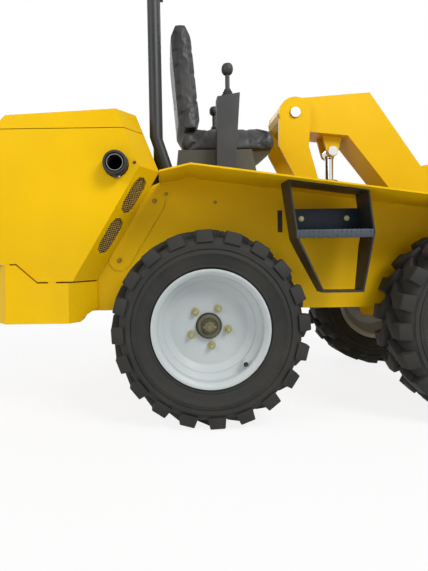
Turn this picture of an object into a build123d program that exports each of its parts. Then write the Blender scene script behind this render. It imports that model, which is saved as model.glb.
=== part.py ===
"""Mini wheel loader: rigid chassis on four motor-driven wheels, centre boom with bucket, engine at the rear.

Frame: +X forward, +Y to the machine's left, +Z up, ground at Z = 0, origin under the middle of the machine's
length and width. Millimetres. Side outlines are written as (distance ahead of the rear axle, height).
Round pieces are many-sided, so that the whole machine stays light.
"""
from build123d import *
import math
import os

# Overall layout
HITCH_LENGTH = 70.0
REAR_OVERHANG = 850.0
WHEELBASE = 980.0
TOOL_REACH = 650.0
BUCKET_LENGTH = 520.0
HALF_TRACK = 440.0
TOOL_FACE = WHEELBASE + TOOL_REACH
BUCKET_TIP = TOOL_FACE + BUCKET_LENGTH
OVERALL_LENGTH = HITCH_LENGTH + REAR_OVERHANG + BUCKET_TIP
REAR_AXLE_X = HITCH_LENGTH + REAR_OVERHANG - OVERALL_LENGTH / 2
FRONT_AXLE_X = REAR_AXLE_X + WHEELBASE

# Number of flat sides on round pieces
RIM_SIDES = 18
HUB_SIDES = 10
BAR_SIDES = 10
BOSS_SIDES = 16
TUBE_SIDES = 8
SLOT_END_SIDES = 4
BEND_SIDES = 3

# Clearances
RUNNING_CLEARANCE = 0.1
SEAT_CLEARANCE = 0.3

# Tyres: ring radii and half widths, lug angles in degrees
TYRE_RADIUS = 345.0
BEAD_RADIUS = 190.0
BEAD_HALF_WIDTH = 82.0
BULGE_RADIUS = 262.0
BULGE_HALF_WIDTH = 108.0
SHOULDER_RADIUS = 300.0
SHOULDER_HALF_WIDTH = 102.0
LUG_FOOT = 5.0
LUG_DEPTH = 26.0
LUG_EDGE_DROP = 4.0
TREAD_HALF_WIDTH = 96.0
TREAD_SHOULDER = 8.0
LUG_INNER_END = 10.0
LUG_INNER_RUN = 4.0
LUG_COUNT = 20
LUG_BASE_ANGLE = 9.8
LUG_TOP_ANGLE = 6.6
LUG_SLANT = 9.0
LUG_EDGE_SLANT = 1.5

# Rims, hubs and wheel motors
RIM_HALF_WIDTH = 95.0
RIM_FLANGE_RADIUS = 208.0
RIM_LIP = 10.0
RIM_LIP_DEPTH = 11.0
RIM_WALL = 6.0
RIM_WELL_RADIUS = 170.0
RIM_WELL_HALF_WIDTH = 40.0
RIM_SEAT_HALF_WIDTH = 56.0
DISC_FACE = 12.0
DISC_THICKNESS = 8.0
DISC_DISH = 18.0
DISC_DISH_RUN = 24.0
DISC_HOLE_RADIUS = 46.0
HUB_FLANGE_RADIUS = 86.0
HUB_FLANGE_THICKNESS = 14.0
HUB_NOSE_RADIUS = 42.0
HUB_NOSE_LENGTH = 26.0
HUB_BOSS_RADIUS = 48.0
HUB_BOSS_LENGTH = 30.0
SHAFT_RADIUS = 16.0
SHAFT_LENGTH = 45.0
SHAFT_END_ROOM = 2.0
MOTOR_RADIUS = 56.0
MOTOR_FLANGE_RADIUS = 68.0
MOTOR_FLANGE = 16.0
MOTOR_MOUTH_RADIUS = 40.0

# Chassis
WALL_OUTER_Y = 285.0
WALL_THICKNESS = 8.0
CHASSIS_BOTTOM = 385.0
MOTOR_MOUNT_DROP = 110.0
MOTOR_MOUNT_HALF_LENGTH = 110.0
MOTOR_MOUNT_SLOPE = 60.0
FIREWALL_DROP = 1.0
PLATE = 6.0
BOARD_OUTER_Y = 545.0
BOARD_PEAK = (-62.0, 913.0)
BOARD_REAR = (-170.0, 889.0)
BOARD_FRONT = (1180.0, 739.0)
BOARD_TIP = (1235.0, 690.0)
WALL_FRONT_HEIGHT = 600.0
WALL_FRONT_SLOPE = 60.0
WALL_REAR_TOP = (-230.0, 865.0)
WALL_REAR_FOOT = (-475.0, 470.0)
DECK_FRONT = 400.0
FRONT_CROSS_X = 760.0
BELLY_FRONT = 1080.0
WALL_SLOT_REAR = 293.0
WALL_SLOT_LENGTH = 20.0
WALL_SLOT_LOW = 685.0
WALL_SLOT_HEIGHT = 87.0
ACCESS_ENDS = ((-193.0, 815.0), (-334.0, 583.0))
ACCESS_RADIUS = 44.0
ACCESS_SHEET = 4.0

# Engine cover
COVER_HALF_WIDTH = 400.0
COVER_SHEET = 5.0
COVER_GAP = 5.0
COVER_FOOT = (-424.0, 507.0)
COVER_NOSE = (-174.0, 927.0)
COVER_TOP_FRONT = (-262.0, 1150.0)
COVER_TOP_REAR = (-740.0, 1128.0)
COVER_REAR_SHOULDER = 1020.0
COVER_STEP_REAR = (-706.0, 575.0)
COVER_STEP_FRONT = (-629.0, 507.0)
COVER_CHAMFER_SIDE = 64.0
COVER_CHAMFER_FRONT = 100.0
COVER_CHAMFER_REAR = 60.0
LID_HEIGHT = 1075.0
LID_GAP = 3.0
HINGE_RADIUS = 8.0
HINGE_KNUCKLE = 36.0
HINGE_KNUCKLE_GAP = 0.5
HINGE_Y = 150.0
HINGE_STANDOFF = 1.0
HINGE_REACH = 32.0
HINGE_LEAF = 6.0
HINGE_FOOT = 14.0
VENT_LENGTH = 158.0
VENT_WIDTH = 72.0
VENT_LAP = 8.0
VENT_HEIGHTS = (813.0, 660.0)
VENT_SHEET = 2.0
GRILLE_MARGIN = 70.0
GRILLE_LOW = 640.0
GRILLE_HIGH = 960.0
GRILLE_SLOTS = 7
GRILLE_LAP = 15.0
GRILLE_SHEET = 4.0
GRILLE_SLOT_INSET = 25.0
ENGINE_REAR = -760.0
ENGINE_FRONT = -300.0
ENGINE_HALF_WIDTH = 190.0
ENGINE_TOP = 800.0
ENGINE_HEAD_INSET = 60.0
ENGINE_HEAD_HEIGHT = 130.0
EXHAUST_PLACE = (-331.0, 939.0)
EXHAUST_RADIUS = 44.0
EXHAUST_BORE = 30.0
EXHAUST_REACH = 50.0
EXHAUST_ROOM = 4.0
EXHAUST_INNER_Y = 150.0
EXHAUST_STAND_HALF = 30.0
EXHAUST_STAND = 20.0

# Counterweight and hitch
WEIGHT_LEDGE = 10.0
WEIGHT_BOTTOM = 353.0
WEIGHT_REAR_WALL = 70.0
WEIGHT_FRONT = -422.0
WEIGHT_SIDE_FRONT = -511.0
WEIGHT_SIDE_REAR = -743.0
WEIGHT_REAR_HALF = 300.0
WEIGHT_SCALLOP_RADIUS = 75.0
WEIGHT_SCALLOP_PLACE = (-412.0, 318.0)
WEIGHT_PADS = (-760.0, -590.0)
WEIGHT_PAD_LENGTH = 30.0
WEIGHT_PAD_WIDTH = 20.0
HITCH_HEIGHT = 440.0
HITCH_PLATE = 20.0
HITCH_HALF_WIDTH = 50.0
HITCH_FLANGE = 12.0
HITCH_FLANGE_HALF_WIDTH = 60.0
HITCH_FLANGE_HALF_HEIGHT = 45.0
HITCH_PIN_OFFSET = 42.0
HITCH_PIN_RADIUS = 13.0

# Boom, tower and cylinders
BOOM_PIVOT = (420.0, 1215.0)
BOOM_KNEE = (709.0, 1213.0)
BOOM_BEND_SETBACK = 340.0
BOOM_BEND_HEIGHT = 401.0
TOOL_PIN_SETBACK = 130.0
TOOL_PIN_HEIGHT = 200.0
BOOM_HALF_WIDTH = 80.0
BOOM_SHEET = 12.0
BOOM_HALF_DEPTHS = (70.0, 95.0, 65.0, 40.0)
BOOM_END_WALL = 70.0
BOOM_TIP_WALL = 80.0
PIVOT_TUBE_RADIUS = 40.0
TOWER_INNER_Y = 92.0
TOWER_PLATE = 15.0
TOWER_REAR = 450.0
TOWER_FOOT_FRONT = 670.0
TOWER_SIDES = ((670.0, 540.0), (560.0, 640.0), (518.0, 920.0), (478.0, 1069.0), (488.0, 1190.0),
               (350.0, 1190.0), (347.0, 1069.0), (417.0, 933.0), (450.0, 870.0))
TOWER_WEB_TOP = 860.0
TOWER_WEB_INSET = 2.0
PIVOT_PIN_RADIUS = 22.0
PIVOT_BOSS_RADIUS = 70.0
PIN_HEAD = 8.0
TOOL_PIN_RADIUS = 18.0
TOOL_TUBE_RADIUS = 42.0
LIFT_FOOT = (600.0, 480.0)
LIFT_EYE = (604.0, 1058.0)
LIFT_EAR_ROOT = 78.0
LIFT_EAR_HALF = 45.0
TILT_FOOT_ALONG = 409.2
TILT_FOOT_STANDOFF = 164.6
TILT_EAR_REAR = (-118.0, 2.0)
TILT_EAR_FRONT = (-48.0, -96.0)
TILT_EAR_TOE = 12.0
TILT_LEVER = 150.0
TILT_LEVER_ANGLE = 78.4
LIFT_BARREL_RADIUS = 32.0
LIFT_BARREL_LENGTH = 420.0
LIFT_ROD_RADIUS = 18.0
TILT_BARREL_RADIUS = 34.0
TILT_BARREL_LENGTH = 470.0
TILT_ROD_RADIUS = 16.0
BARREL_END = 30.0
GLAND_LENGTH = 30.0
GLAND_LEDGE = 5.0
CYLINDER_PIN_RADIUS = 14.0
LIFT_ROD_START = 72.0
TILT_ROD_START = 120.0
EYE_RADIUS = 26.0
EYE_HALF_WIDTH = 26.0
EYE_NECK_RADIUS = 22.0
ROD_EYE_RADIUS = 24.0
EAR_GAP = 6.0
EAR_PLATE = 12.0

# Tool
COUPLER_PLATE = 18.0
COUPLER_HALF_WIDTH = 270.0
COUPLER_LOW = 60.0
COUPLER_HIGH = 430.0
COUPLER_EAR_INNER = 85.0
COUPLER_EAR_RISE = 140.0
COUPLER_EAR_FOOT = 20.0
COUPLER_WINDOW_RISE = 80.0
COUPLER_WINDOW_ROOM = 5.0
TILT_EAR_RISE = 60.0
TILT_EAR_FALL = 90.0
BUCKET_HALF_WIDTH = 560.0
BUCKET_SHEET = 10.0
BUCKET_HEIGHT = 520.0
BUCKET_LIP = 60.0
BUCKET_LIP_HEIGHT = 80.0
BUCKET_HEEL_RADIUS = 90.0
CUTTING_EDGE = 110.0
CUTTING_EDGE_SHEET = 16.0
CUTTING_EDGE_BEVEL = 36.0

# Steps, measured from the middle of the wheelbase
STEP_OUTER_Y = 500.0
STEP_INNER_Y = 394.0
STEP_TAPER = 40.0
STEP_TAPER_DROP = 60.0
STEP_BAR = 6.0
STEP_TREAD_HEIGHT = 683.0
STEP_LIP = 30.0
STEP_BACK = 82.0
STEP_FRAME = ((-181.0, 653.0), (-94.0, 462.0), (49.0, 462.0), (91.0, 671.0))
STEP_TOP_REAR = -210.0
STEP_TOP_FRONT = 72.0

# Operator's place
SEAT_BASE_HALF_WIDTH = 222.0
SEAT_BASE_TOP = 1031.0
SEAT_BASE_FRONT = 239.0
SEAT_BASE_FRONT_TOP = 207.0
SEAT_BASE_REAR = -95.0
SEAT_HALF_WIDTH = 215.0
CUSHION_LENGTH = 420.0
CUSHION_THICKNESS = 95.0
CUSHION_CORNER = 40.0
BACKREST_SETBACK = 20.0
BACKREST_HEIGHT = 470.0
BACKREST_THICKNESS = 90.0
BACKREST_FOOT = 60.0
BACKREST_LEAN = 55.0
BACKREST_CORNER = 60.0
ROLL_BAR_RADIUS = 25.0
ROLL_BAR_HALF_WIDTH = 258.0
ROLL_BAR_TOP = 1990.0
ROLL_BAR_CORNER = 90.0
ROLL_BAR_FOOT = -128.0
ROLL_BAR_KNEE = (-185.0, 1075.0)
ROLL_BAR_PLACE = -190.0
ROLL_BAR_PAD = 40.0
ROLL_BAR_PAD_HALF_WIDTH = 33.0
ROLL_BAR_PAD_HEIGHT = 12.0
POD_Y = 262.0
POD_HALF_WIDTH = 30.0
POD_FOOT = (55.0, 125.0)
POD_TOP = ((150.0, 1240.0), (60.0, 1225.0))
LEVER_PLACE = (105.0, 1228.0)
LEVER_RADIUS = 9.0
LEVER_LENGTH = 110.0
KNOB_RADIUS = 22.0
LAMP_Y = 150.0
LAMP_RADIUS = 40.0
LAMP_LENGTH = 60.0
LAMP_DROP = 45.0
LAMP_AHEAD = 10.0
LAMP_STEM = 24.0
REAR_LAMP_LOW = 660.0
REAR_LAMP_HEIGHT = 100.0
REAR_LAMP_WIDTH = 50.0
REAR_LAMP_DEPTH = 12.0
REAR_LAMP_INSET = 5.0


# Helpers
def at(ahead, height):
    """A side-view point: distance ahead of the rear axle and height."""
    return (REAR_AXLE_X + ahead, height)


def polar(centre, radius, degrees):
    angle = math.radians(degrees)
    return (centre[0] + radius * math.cos(angle), centre[1] + radius * math.sin(angle))


def toward(start, end, distance):
    """The side-view point that lies this far from start on the line to end."""
    share = distance / math.dist(start, end)
    return (start[0] + (end[0] - start[0]) * share, start[1] + (end[1] - start[1]) * share)


def beside(start, end, along, off):
    """The side-view point this far along the line from start to end, and this far off to its upper side."""
    x, z = toward(start, end, along)
    length = math.dist(start, end)
    return (x - (end[1] - start[1]) / length * off, z + (end[0] - start[0]) / length * off)


def middle_of(a, b):
    return ((a[0] + b[0]) / 2, (a[1] + b[1]) / 2)


def board_top(ahead):
    """Height of the running board's top face: two straight falls from its peak."""
    low = BOARD_REAR if ahead < BOARD_PEAK[0] else BOARD_FRONT
    share = (ahead - BOARD_PEAK[0]) / (low[0] - BOARD_PEAK[0])
    return BOARD_PEAK[1] + (low[1] - BOARD_PEAK[1]) * share


def side_prism(outline, y_low, y_high):
    """Side-view outline, stretched across the machine from y_low to y_high."""
    face = make_face(Polyline(*[at(*p) for p in outline], close=True))
    return Pos(0, y_high, 0) * Rot(90, 0, 0) * extrude(face, amount=y_high - y_low, dir=(0, 0, 1))


def plan_prism(outline, z_low, z_high):
    """Plan-view outline of (distance ahead of the rear axle, Y), stretched upwards."""
    face = make_face(Polyline(*[(REAR_AXLE_X + x, y) for x, y in outline], close=True))
    return Pos(0, 0, z_low) * extrude(face, amount=z_high - z_low, dir=(0, 0, 1))


def block(ahead, y, height):
    """Box from (low, high) pairs along each axis, the first measured from the rear axle."""
    size = [high - low for low, high in (ahead, y, height)]
    middle = [(low + high) / 2 for low, high in (ahead, y, height)]
    return Pos(REAR_AXLE_X + middle[0], middle[1], middle[2]) * Box(*size)


def cross_bar(place, radius, y_low, y_high, sides=BAR_SIDES, bore=False):
    """Many-sided bar across the machine; as a bore its flats, not its corners, lie at the radius."""
    x, z = at(*place)
    section = RegularPolygon(radius, sides, major_radius=not bore)
    return Pos(x, y_high, z) * Rot(90, 0, 0) * extrude(section, amount=y_high - y_low, dir=(0, 0, 1))


def long_bar(start, end, radius, sides=BAR_SIDES, bore=False):
    """Many-sided bar between two side-view points, in the machine's middle plane."""
    a, b = (Vector(at(*point)[0], 0, point[1]) for point in (start, end))
    section = RegularPolygon(radius, sides, major_radius=not bore)
    return Plane(a, z_dir=b - a) * extrude(section, amount=(b - a).length, dir=(0, 0, 1))


def slot_outline(start, end, radius):
    """Outline of a slot with rounded ends about two points."""
    heading = math.degrees(math.atan2(end[1] - start[1], end[0] - start[0]))
    turns = [180 * i / SLOT_END_SIDES - 90 for i in range(SLOT_END_SIDES + 1)]
    front = [polar(end, radius, heading + turn) for turn in turns]
    return front + [polar(start, radius, heading + 180 + turn) for turn in turns]


def bent_bar(points, half_depths):
    """Side outline of a bar that follows the points, with its own half depth at each of them."""
    above, below = [], []
    for i, (x, z) in enumerate(points):
        before = points[max(i - 1, 0)]
        after = points[min(i + 1, len(points) - 1)]
        runs = [(b[0] - a[0], b[1] - a[1]) for a, b in ((before, (x, z)), ((x, z), after)) if a != b]
        normals = [(-dz / math.hypot(dx, dz), dx / math.hypot(dx, dz)) for dx, dz in runs]
        nx, nz = (sum(n[k] for n in normals) for k in (0, 1))
        stretch = half_depths[i] * 2 / (nx * nx + nz * nz) if len(normals) == 2 else half_depths[i]
        above.append((x + nx * stretch, z + nz * stretch))
        below.append((x - nx * stretch, z - nz * stretch))
    return above + below[::-1]


def facets(*outlines):
    """Flat faces from outlines of points, leaving out those that shrink to a line."""
    shrunk = [list(dict.fromkeys(outline)) for outline in outlines]
    return [Face(Wire.make_polygon(outline)) for outline in shrunk if len(outline) > 2]


def band(low, high):
    """Four-sided facets between two rings with as many points each."""
    return facets(*[(low[i - 1], low[i], high[i], high[i - 1]) for i in range(len(low))])


def ring_points(radius, offset, sides):
    """Points of a ring about the wheel's axis, the first straight up."""
    turns = [math.radians(360 * i / sides) for i in range(sides)]
    return [(radius * math.sin(turn), offset, radius * math.cos(turn)) for turn in turns]


def turned(profile, sides):
    """Closed profile of (radius, offset across the wheel), turned about the wheel's axis in flat sides."""
    rings = [ring_points(radius, offset, sides) for radius, offset in profile]
    pairs = zip(rings, rings[1:] + rings[:1])
    return Solid(Shell([face for low, high in pairs for face in band(low, high)]))


def tube(path, radius, sides):
    """Many-sided bar along straight runs, mitred at each corner."""
    points = [Vector(*point) for point in path]
    runs = [(end - start).normalized() for start, end in zip(points, points[1:])]
    plane = Plane(points[0], z_dir=runs[0])
    row = [plane.from_local_coords(Vector(*polar((0, 0), radius, 360 * i / sides), 0)) for i in range(sides)]
    rows = [row]
    for corner, run, following in zip(points[1:], runs, runs[1:] + runs[-1:]):
        mitre = (run + following).normalized()
        row = [point + run * ((corner - point).dot(mitre) / run.dot(mitre)) for point in row]
        rows.append(row)
    rings = [[tuple(point) for point in row] for row in rows]
    sleeves = [face for low, high in zip(rings, rings[1:]) for face in band(low, high)]
    return Solid(Shell(sleeves + facets(rings[0], rings[-1])))


def left_of(shape):
    return mirror(shape, about=Plane.XZ)


def both_sides(shape):
    """The shape and its mirror image across the middle plane, as one node."""
    return Compound(children=[*shape.solids(), *left_of(shape).solids()])


def edge_at(solid, place, y):
    """The edge whose middle lies nearest a side-view point at this Y."""
    x, z = at(*place)
    return min(solid.edges(), key=lambda edge: (edge.center() - Vector(x, y, z)).length)


# Places worked out from the sizes
BOOM_BEND = (TOOL_FACE - BOOM_BEND_SETBACK, BOOM_BEND_HEIGHT)
TOOL_PIN = (TOOL_FACE - TOOL_PIN_SETBACK, TOOL_PIN_HEIGHT)
TILT_FOOT = beside(BOOM_KNEE, BOOM_BEND, TILT_FOOT_ALONG, TILT_FOOT_STANDOFF)
TILT_EYE = polar(TOOL_PIN, TILT_LEVER, TILT_LEVER_ANGLE)
WALL_INNER_Y = WALL_OUTER_Y - WALL_THICKNESS
TOWER_OUTER_Y = TOWER_INNER_Y + TOWER_PLATE
EAR_INNER_Y = EYE_HALF_WIDTH + EAR_GAP
EAR_OUTER_Y = EAR_INNER_Y + EAR_PLATE
BELLY_TOP = CHASSIS_BOTTOM + PLATE
WEIGHT_HALF_WIDTH = COVER_HALF_WIDTH + WEIGHT_LEDGE
WEIGHT_INNER_REAR = WEIGHT_REAR_WALL - REAR_OVERHANG
GRILLE_HALF_WIDTH = COVER_HALF_WIDTH - COVER_CHAMFER_REAR - GRILLE_MARGIN
HINGE_OFFSET = HINGE_RADIUS + HINGE_STANDOFF
LID_RUN = (COVER_TOP_REAR[0] + REAR_OVERHANG, COVER_TOP_REAR[1] - COVER_REAR_SHOULDER)
LID_SLOPE = (LID_RUN[0] / math.hypot(*LID_RUN), LID_RUN[1] / math.hypot(*LID_RUN))
LID_SEAM = toward((-REAR_OVERHANG, COVER_REAR_SHOULDER), COVER_TOP_REAR,
                  (LID_HEIGHT + LID_GAP / 2 - COVER_REAR_SHOULDER) / LID_SLOPE[1])
LID_HINGE = (LID_SEAM[0] - HINGE_OFFSET * LID_SLOPE[1], LID_SEAM[1] + HINGE_OFFSET * LID_SLOPE[0])
STEP_MIDDLE = WHEELBASE / 2


# Wheels, modelled on the right side with the outboard face at negative Y
def plain_ring(radius, offset, slant):
    """Two points per lug pitch: under each lug's middle and under each gap's."""
    start = slant - LUG_SLANT - LUG_TOP_ANGLE / 2
    turns = [math.radians(start + 180 * i / LUG_COUNT) for i in range(2 * LUG_COUNT)]
    return [(radius * math.sin(turn), offset, radius * math.cos(turn)) for turn in turns]


def lugged_ring(side, root, tip, slant):
    """Four points per lug of one row: foot, top, top, foot. Root and tip are (radius, half width)."""
    points = []
    for lug in range(LUG_COUNT):
        middle = 360 * (lug + (0.5 if side < 0 else 0)) / LUG_COUNT + slant - LUG_SLANT - LUG_TOP_ANGLE / 2
        for (radius, width), spread in ((root, -LUG_BASE_ANGLE), (tip, -LUG_TOP_ANGLE),
                                        (tip, LUG_TOP_ANGLE), (root, LUG_BASE_ANGLE)):
            turn = math.radians(middle + spread / 2)
            points.append((radius * math.sin(turn), side * width, radius * math.cos(turn)))
    return points


def lug_fan(plain, lugged, side):
    """Three-sided facets between a plain ring and a lugged ring of one row."""
    outlines = []
    for lug in range(LUG_COUNT):
        under = 2 * lug + (1 if side < 0 else 0)
        before, middle, after = (plain[(under + k) % len(plain)] for k in (-1, 0, 1))
        last, foot, top, far_top, far_foot = (lugged[4 * lug + k] for k in (-1, 0, 1, 2, 3))
        outlines += [(before, last, foot), (before, foot, middle), (middle, foot, top)]
        outlines += [(middle, top, far_top), (middle, far_top, far_foot), (middle, far_foot, after)]
    return facets(*outlines)


def lug_band(low, high):
    """Three-sided facets between two lugged rings of one row."""
    outlines = [(low[i - 1], low[i], high[i]) for i in range(len(low))]
    outlines += [(low[i - 1], high[i], high[i - 1]) for i in range(len(low))]
    return facets(*outlines)


def tyre():
    """Carcass with two staggered rows of slanted lugs, as one skin of flat facets."""
    bead_radius = (BEAD_RADIUS + SEAT_CLEARANCE) / math.cos(math.pi / (2 * LUG_COUNT))
    tread = TYRE_RADIUS - LUG_DEPTH
    edge_root = (tread - LUG_EDGE_DROP, TREAD_HALF_WIDTH - TREAD_SHOULDER)
    centre = plain_ring(tread, 0, LUG_SLANT)
    skin, beads = [], []
    for side in (1, -1):
        bead = plain_ring(bead_radius, side * BEAD_HALF_WIDTH, 0)
        bulge = plain_ring(BULGE_RADIUS, side * BULGE_HALF_WIDTH, 0)
        shoulder = lugged_ring(side, (SHOULDER_RADIUS, SHOULDER_HALF_WIDTH),
                               (SHOULDER_RADIUS, SHOULDER_HALF_WIDTH + LUG_FOOT), 0)
        edge = lugged_ring(side, edge_root, (TYRE_RADIUS - LUG_EDGE_DROP, TREAD_HALF_WIDTH), LUG_EDGE_SLANT)
        inner_root = (tread, LUG_INNER_END + LUG_INNER_RUN)
        inner = lugged_ring(side, inner_root, (TYRE_RADIUS, LUG_INNER_END), LUG_SLANT)
        skin += band(bead, bulge) + lug_fan(bulge, shoulder, side) + lug_band(shoulder, edge)
        skin += lug_band(edge, inner) + lug_fan(centre, inner, side)
        beads.append(bead)
    return Solid(Shell(skin + band(*beads)))


def rim():
    """Deep stepped barrel with flared flanges and a dished disc, in one turned profile."""
    edge, well, seat = RIM_HALF_WIDTH, RIM_WELL_HALF_WIDTH, RIM_SEAT_HALF_WIDTH
    lip, lining, inside = RIM_FLANGE_RADIUS - RIM_LIP, BEAD_RADIUS - RIM_WALL, RIM_WELL_RADIUS - RIM_WALL
    face, back = -DISC_FACE, DISC_THICKNESS - DISC_FACE
    dished = inside - DISC_DISH_RUN
    flare = BEAD_HALF_WIDTH + SEAT_CLEARANCE * 2
    roll = edge - RIM_LIP_DEPTH
    front = [(RIM_FLANGE_RADIUS, -edge), (lip, -edge), (lining, -roll), (lining, -seat), (inside, -well),
             (inside, face - DISC_DISH), (dished, face), (DISC_HOLE_RADIUS, face)]
    rear = [(DISC_HOLE_RADIUS, back), (dished, back), (inside, well), (lining, roll),
            (RIM_FLANGE_RADIUS, edge)]
    return turned(front + rear + [(BEAD_RADIUS, flare), (BEAD_RADIUS, -flare)], RIM_SIDES)


def hub():
    """Flange behind the rim's disc, nose through it, and the round shaft into the wheel motor."""
    back = DISC_THICKNESS - DISC_FACE
    flange, nose = back + HUB_FLANGE_THICKNESS, back - HUB_NOSE_LENGTH
    body = turned([(0, nose), (HUB_NOSE_RADIUS, nose), (HUB_NOSE_RADIUS, back), (HUB_FLANGE_RADIUS, back),
                   (HUB_FLANGE_RADIUS, flange), (HUB_BOSS_RADIUS, flange),
                   (HUB_BOSS_RADIUS, HUB_BOSS_LENGTH), (0, HUB_BOSS_LENGTH)], HUB_SIDES)
    shaft = Rot(90, 0, 0) * Cylinder(SHAFT_RADIUS, SHAFT_LENGTH)
    return body + Pos(0, HUB_BOSS_LENGTH + SHAFT_LENGTH / 2, 0) * shaft


def wheel_motor():
    """Housing between the chassis wall and the hub, with the bore that carries the hub's shaft."""
    mouth = HALF_TRACK - HUB_BOSS_LENGTH - SEAT_CLEARANCE
    bore = (SHAFT_RADIUS + RUNNING_CLEARANCE) / math.cos(math.pi / HUB_SIDES)
    depth = HALF_TRACK - HUB_BOSS_LENGTH - SHAFT_LENGTH - SHAFT_END_ROOM
    flange = WALL_OUTER_Y + MOTOR_FLANGE
    profile = [(0, WALL_OUTER_Y), (MOTOR_FLANGE_RADIUS, WALL_OUTER_Y), (MOTOR_FLANGE_RADIUS, flange),
               (MOTOR_RADIUS, flange), (MOTOR_MOUTH_RADIUS, mouth),
               (bore, mouth), (bore, depth), (0, depth)]
    return turned([(r, -y) for r, y in profile], HUB_SIDES)


# Chassis
def chassis_frame():
    low = CHASSIS_BOTTOM - MOTOR_MOUNT_DROP
    reach, slope = MOTOR_MOUNT_HALF_LENGTH, MOTOR_MOUNT_HALF_LENGTH + MOTOR_MOUNT_SLOPE
    rear, front = WEIGHT_INNER_REAR, BOARD_FRONT[0]
    outline = [(rear, CHASSIS_BOTTOM)]
    for axle in (0.0, WHEELBASE):
        outline += [(axle - slope, CHASSIS_BOTTOM), (axle - reach, low), (axle + reach, low),
                    (axle + slope, CHASSIS_BOTTOM)]
    outline += [(front, CHASSIS_BOTTOM), (front, WALL_FRONT_HEIGHT),
                (front - WALL_FRONT_SLOPE, board_top(front - WALL_FRONT_SLOPE)), BOARD_PEAK, BOARD_REAR,
                WALL_REAR_TOP, WALL_REAR_FOOT, (rear, WALL_REAR_FOOT[1])]
    wall = side_prism(outline, -WALL_OUTER_Y, -WALL_INNER_Y)
    wall -= block((WALL_SLOT_REAR, WALL_SLOT_REAR + WALL_SLOT_LENGTH), (-WALL_OUTER_Y, -WALL_INNER_Y),
                  (WALL_SLOT_LOW, WALL_SLOT_LOW + WALL_SLOT_HEIGHT))
    inside = (-WALL_INNER_Y, WALL_INNER_Y)
    frame = wall + left_of(wall) + block((rear, BELLY_FRONT), inside, (CHASSIS_BOTTOM, BELLY_TOP))
    frame += block((BOARD_REAR[0], BOARD_REAR[0] + PLATE), inside, (BELLY_TOP, BOARD_REAR[1] - FIREWALL_DROP))
    frame += block((FRONT_CROSS_X, FRONT_CROSS_X + PLATE), inside, (BELLY_TOP, WALL_FRONT_HEIGHT))
    deck = [BOARD_REAR, BOARD_PEAK, (DECK_FRONT, board_top(DECK_FRONT))]
    return frame + side_prism(deck + [(x, z - PLATE) for x, z in deck[::-1]], *inside)


def running_board():
    top = [BOARD_REAR, BOARD_PEAK, BOARD_FRONT, BOARD_TIP]
    return side_prism(top + [(x, z - PLATE) for x, z in top[::-1]], -BOARD_OUTER_Y, -WALL_OUTER_Y)


def access_plate():
    """Bolted cover plate on the chassis wall, in front of the engine cover's slanted edge."""
    return side_prism(slot_outline(*ACCESS_ENDS, ACCESS_RADIUS), -WALL_OUTER_Y - ACCESS_SHEET, -WALL_OUTER_Y)


def counterweight():
    """Cast weight round the chassis tail, stepped under the engine cover, with pads that carry the cover."""
    outline = [(WEIGHT_FRONT, WALL_OUTER_Y), (WEIGHT_FRONT, WEIGHT_REAR_HALF),
               (WEIGHT_SIDE_FRONT, WEIGHT_HALF_WIDTH), (WEIGHT_SIDE_REAR, WEIGHT_HALF_WIDTH),
               (-REAR_OVERHANG, WEIGHT_REAR_HALF)]
    outline += [(x, -y) for x, y in outline[::-1]]
    far = OVERALL_LENGTH
    tops = [(x, z - COVER_GAP) for x, z in (COVER_STEP_REAR, COVER_STEP_FRONT)]
    weight = plan_prism(outline, WEIGHT_BOTTOM, tops[0][1])
    weight -= block((WEIGHT_INNER_REAR, far), (-WALL_OUTER_Y, WALL_OUTER_Y), (0, far))
    weight -= side_prism([*tops, (far, tops[1][1]), (far, far), (tops[0][0], far)], -far, far)
    weight -= cross_bar(WEIGHT_SCALLOP_PLACE, WEIGHT_SCALLOP_RADIUS, -far, far, BOSS_SIDES)
    for low in WEIGHT_PADS:
        base = COVER_STEP_REAR[1] if low < COVER_STEP_REAR[0] else COVER_STEP_FRONT[1]
        pad = block((low, low + WEIGHT_PAD_LENGTH), (-COVER_HALF_WIDTH, WEIGHT_PAD_WIDTH - COVER_HALF_WIDTH),
                    (base - COVER_GAP, base))
        weight += pad + left_of(pad)
    return weight


def tow_hitch():
    """Drawbar plate behind the counterweight, with a vertical pin hole."""
    back, flange = -REAR_OVERHANG, -REAR_OVERHANG - HITCH_FLANGE
    half = HITCH_FLANGE_HALF_HEIGHT
    hitch = block((flange, back), (-HITCH_FLANGE_HALF_WIDTH, HITCH_FLANGE_HALF_WIDTH),
                  (HITCH_HEIGHT - half, HITCH_HEIGHT + half))
    hitch += block((back - HITCH_LENGTH, flange), (-HITCH_HALF_WIDTH, HITCH_HALF_WIDTH),
                   (HITCH_HEIGHT - HITCH_PLATE / 2, HITCH_HEIGHT + HITCH_PLATE / 2))
    x = REAR_AXLE_X + back - HITCH_PIN_OFFSET
    return hitch - Pos(x, 0, HITCH_HEIGHT) * Cylinder(HITCH_PIN_RADIUS, 2 * HITCH_PLATE)


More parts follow.
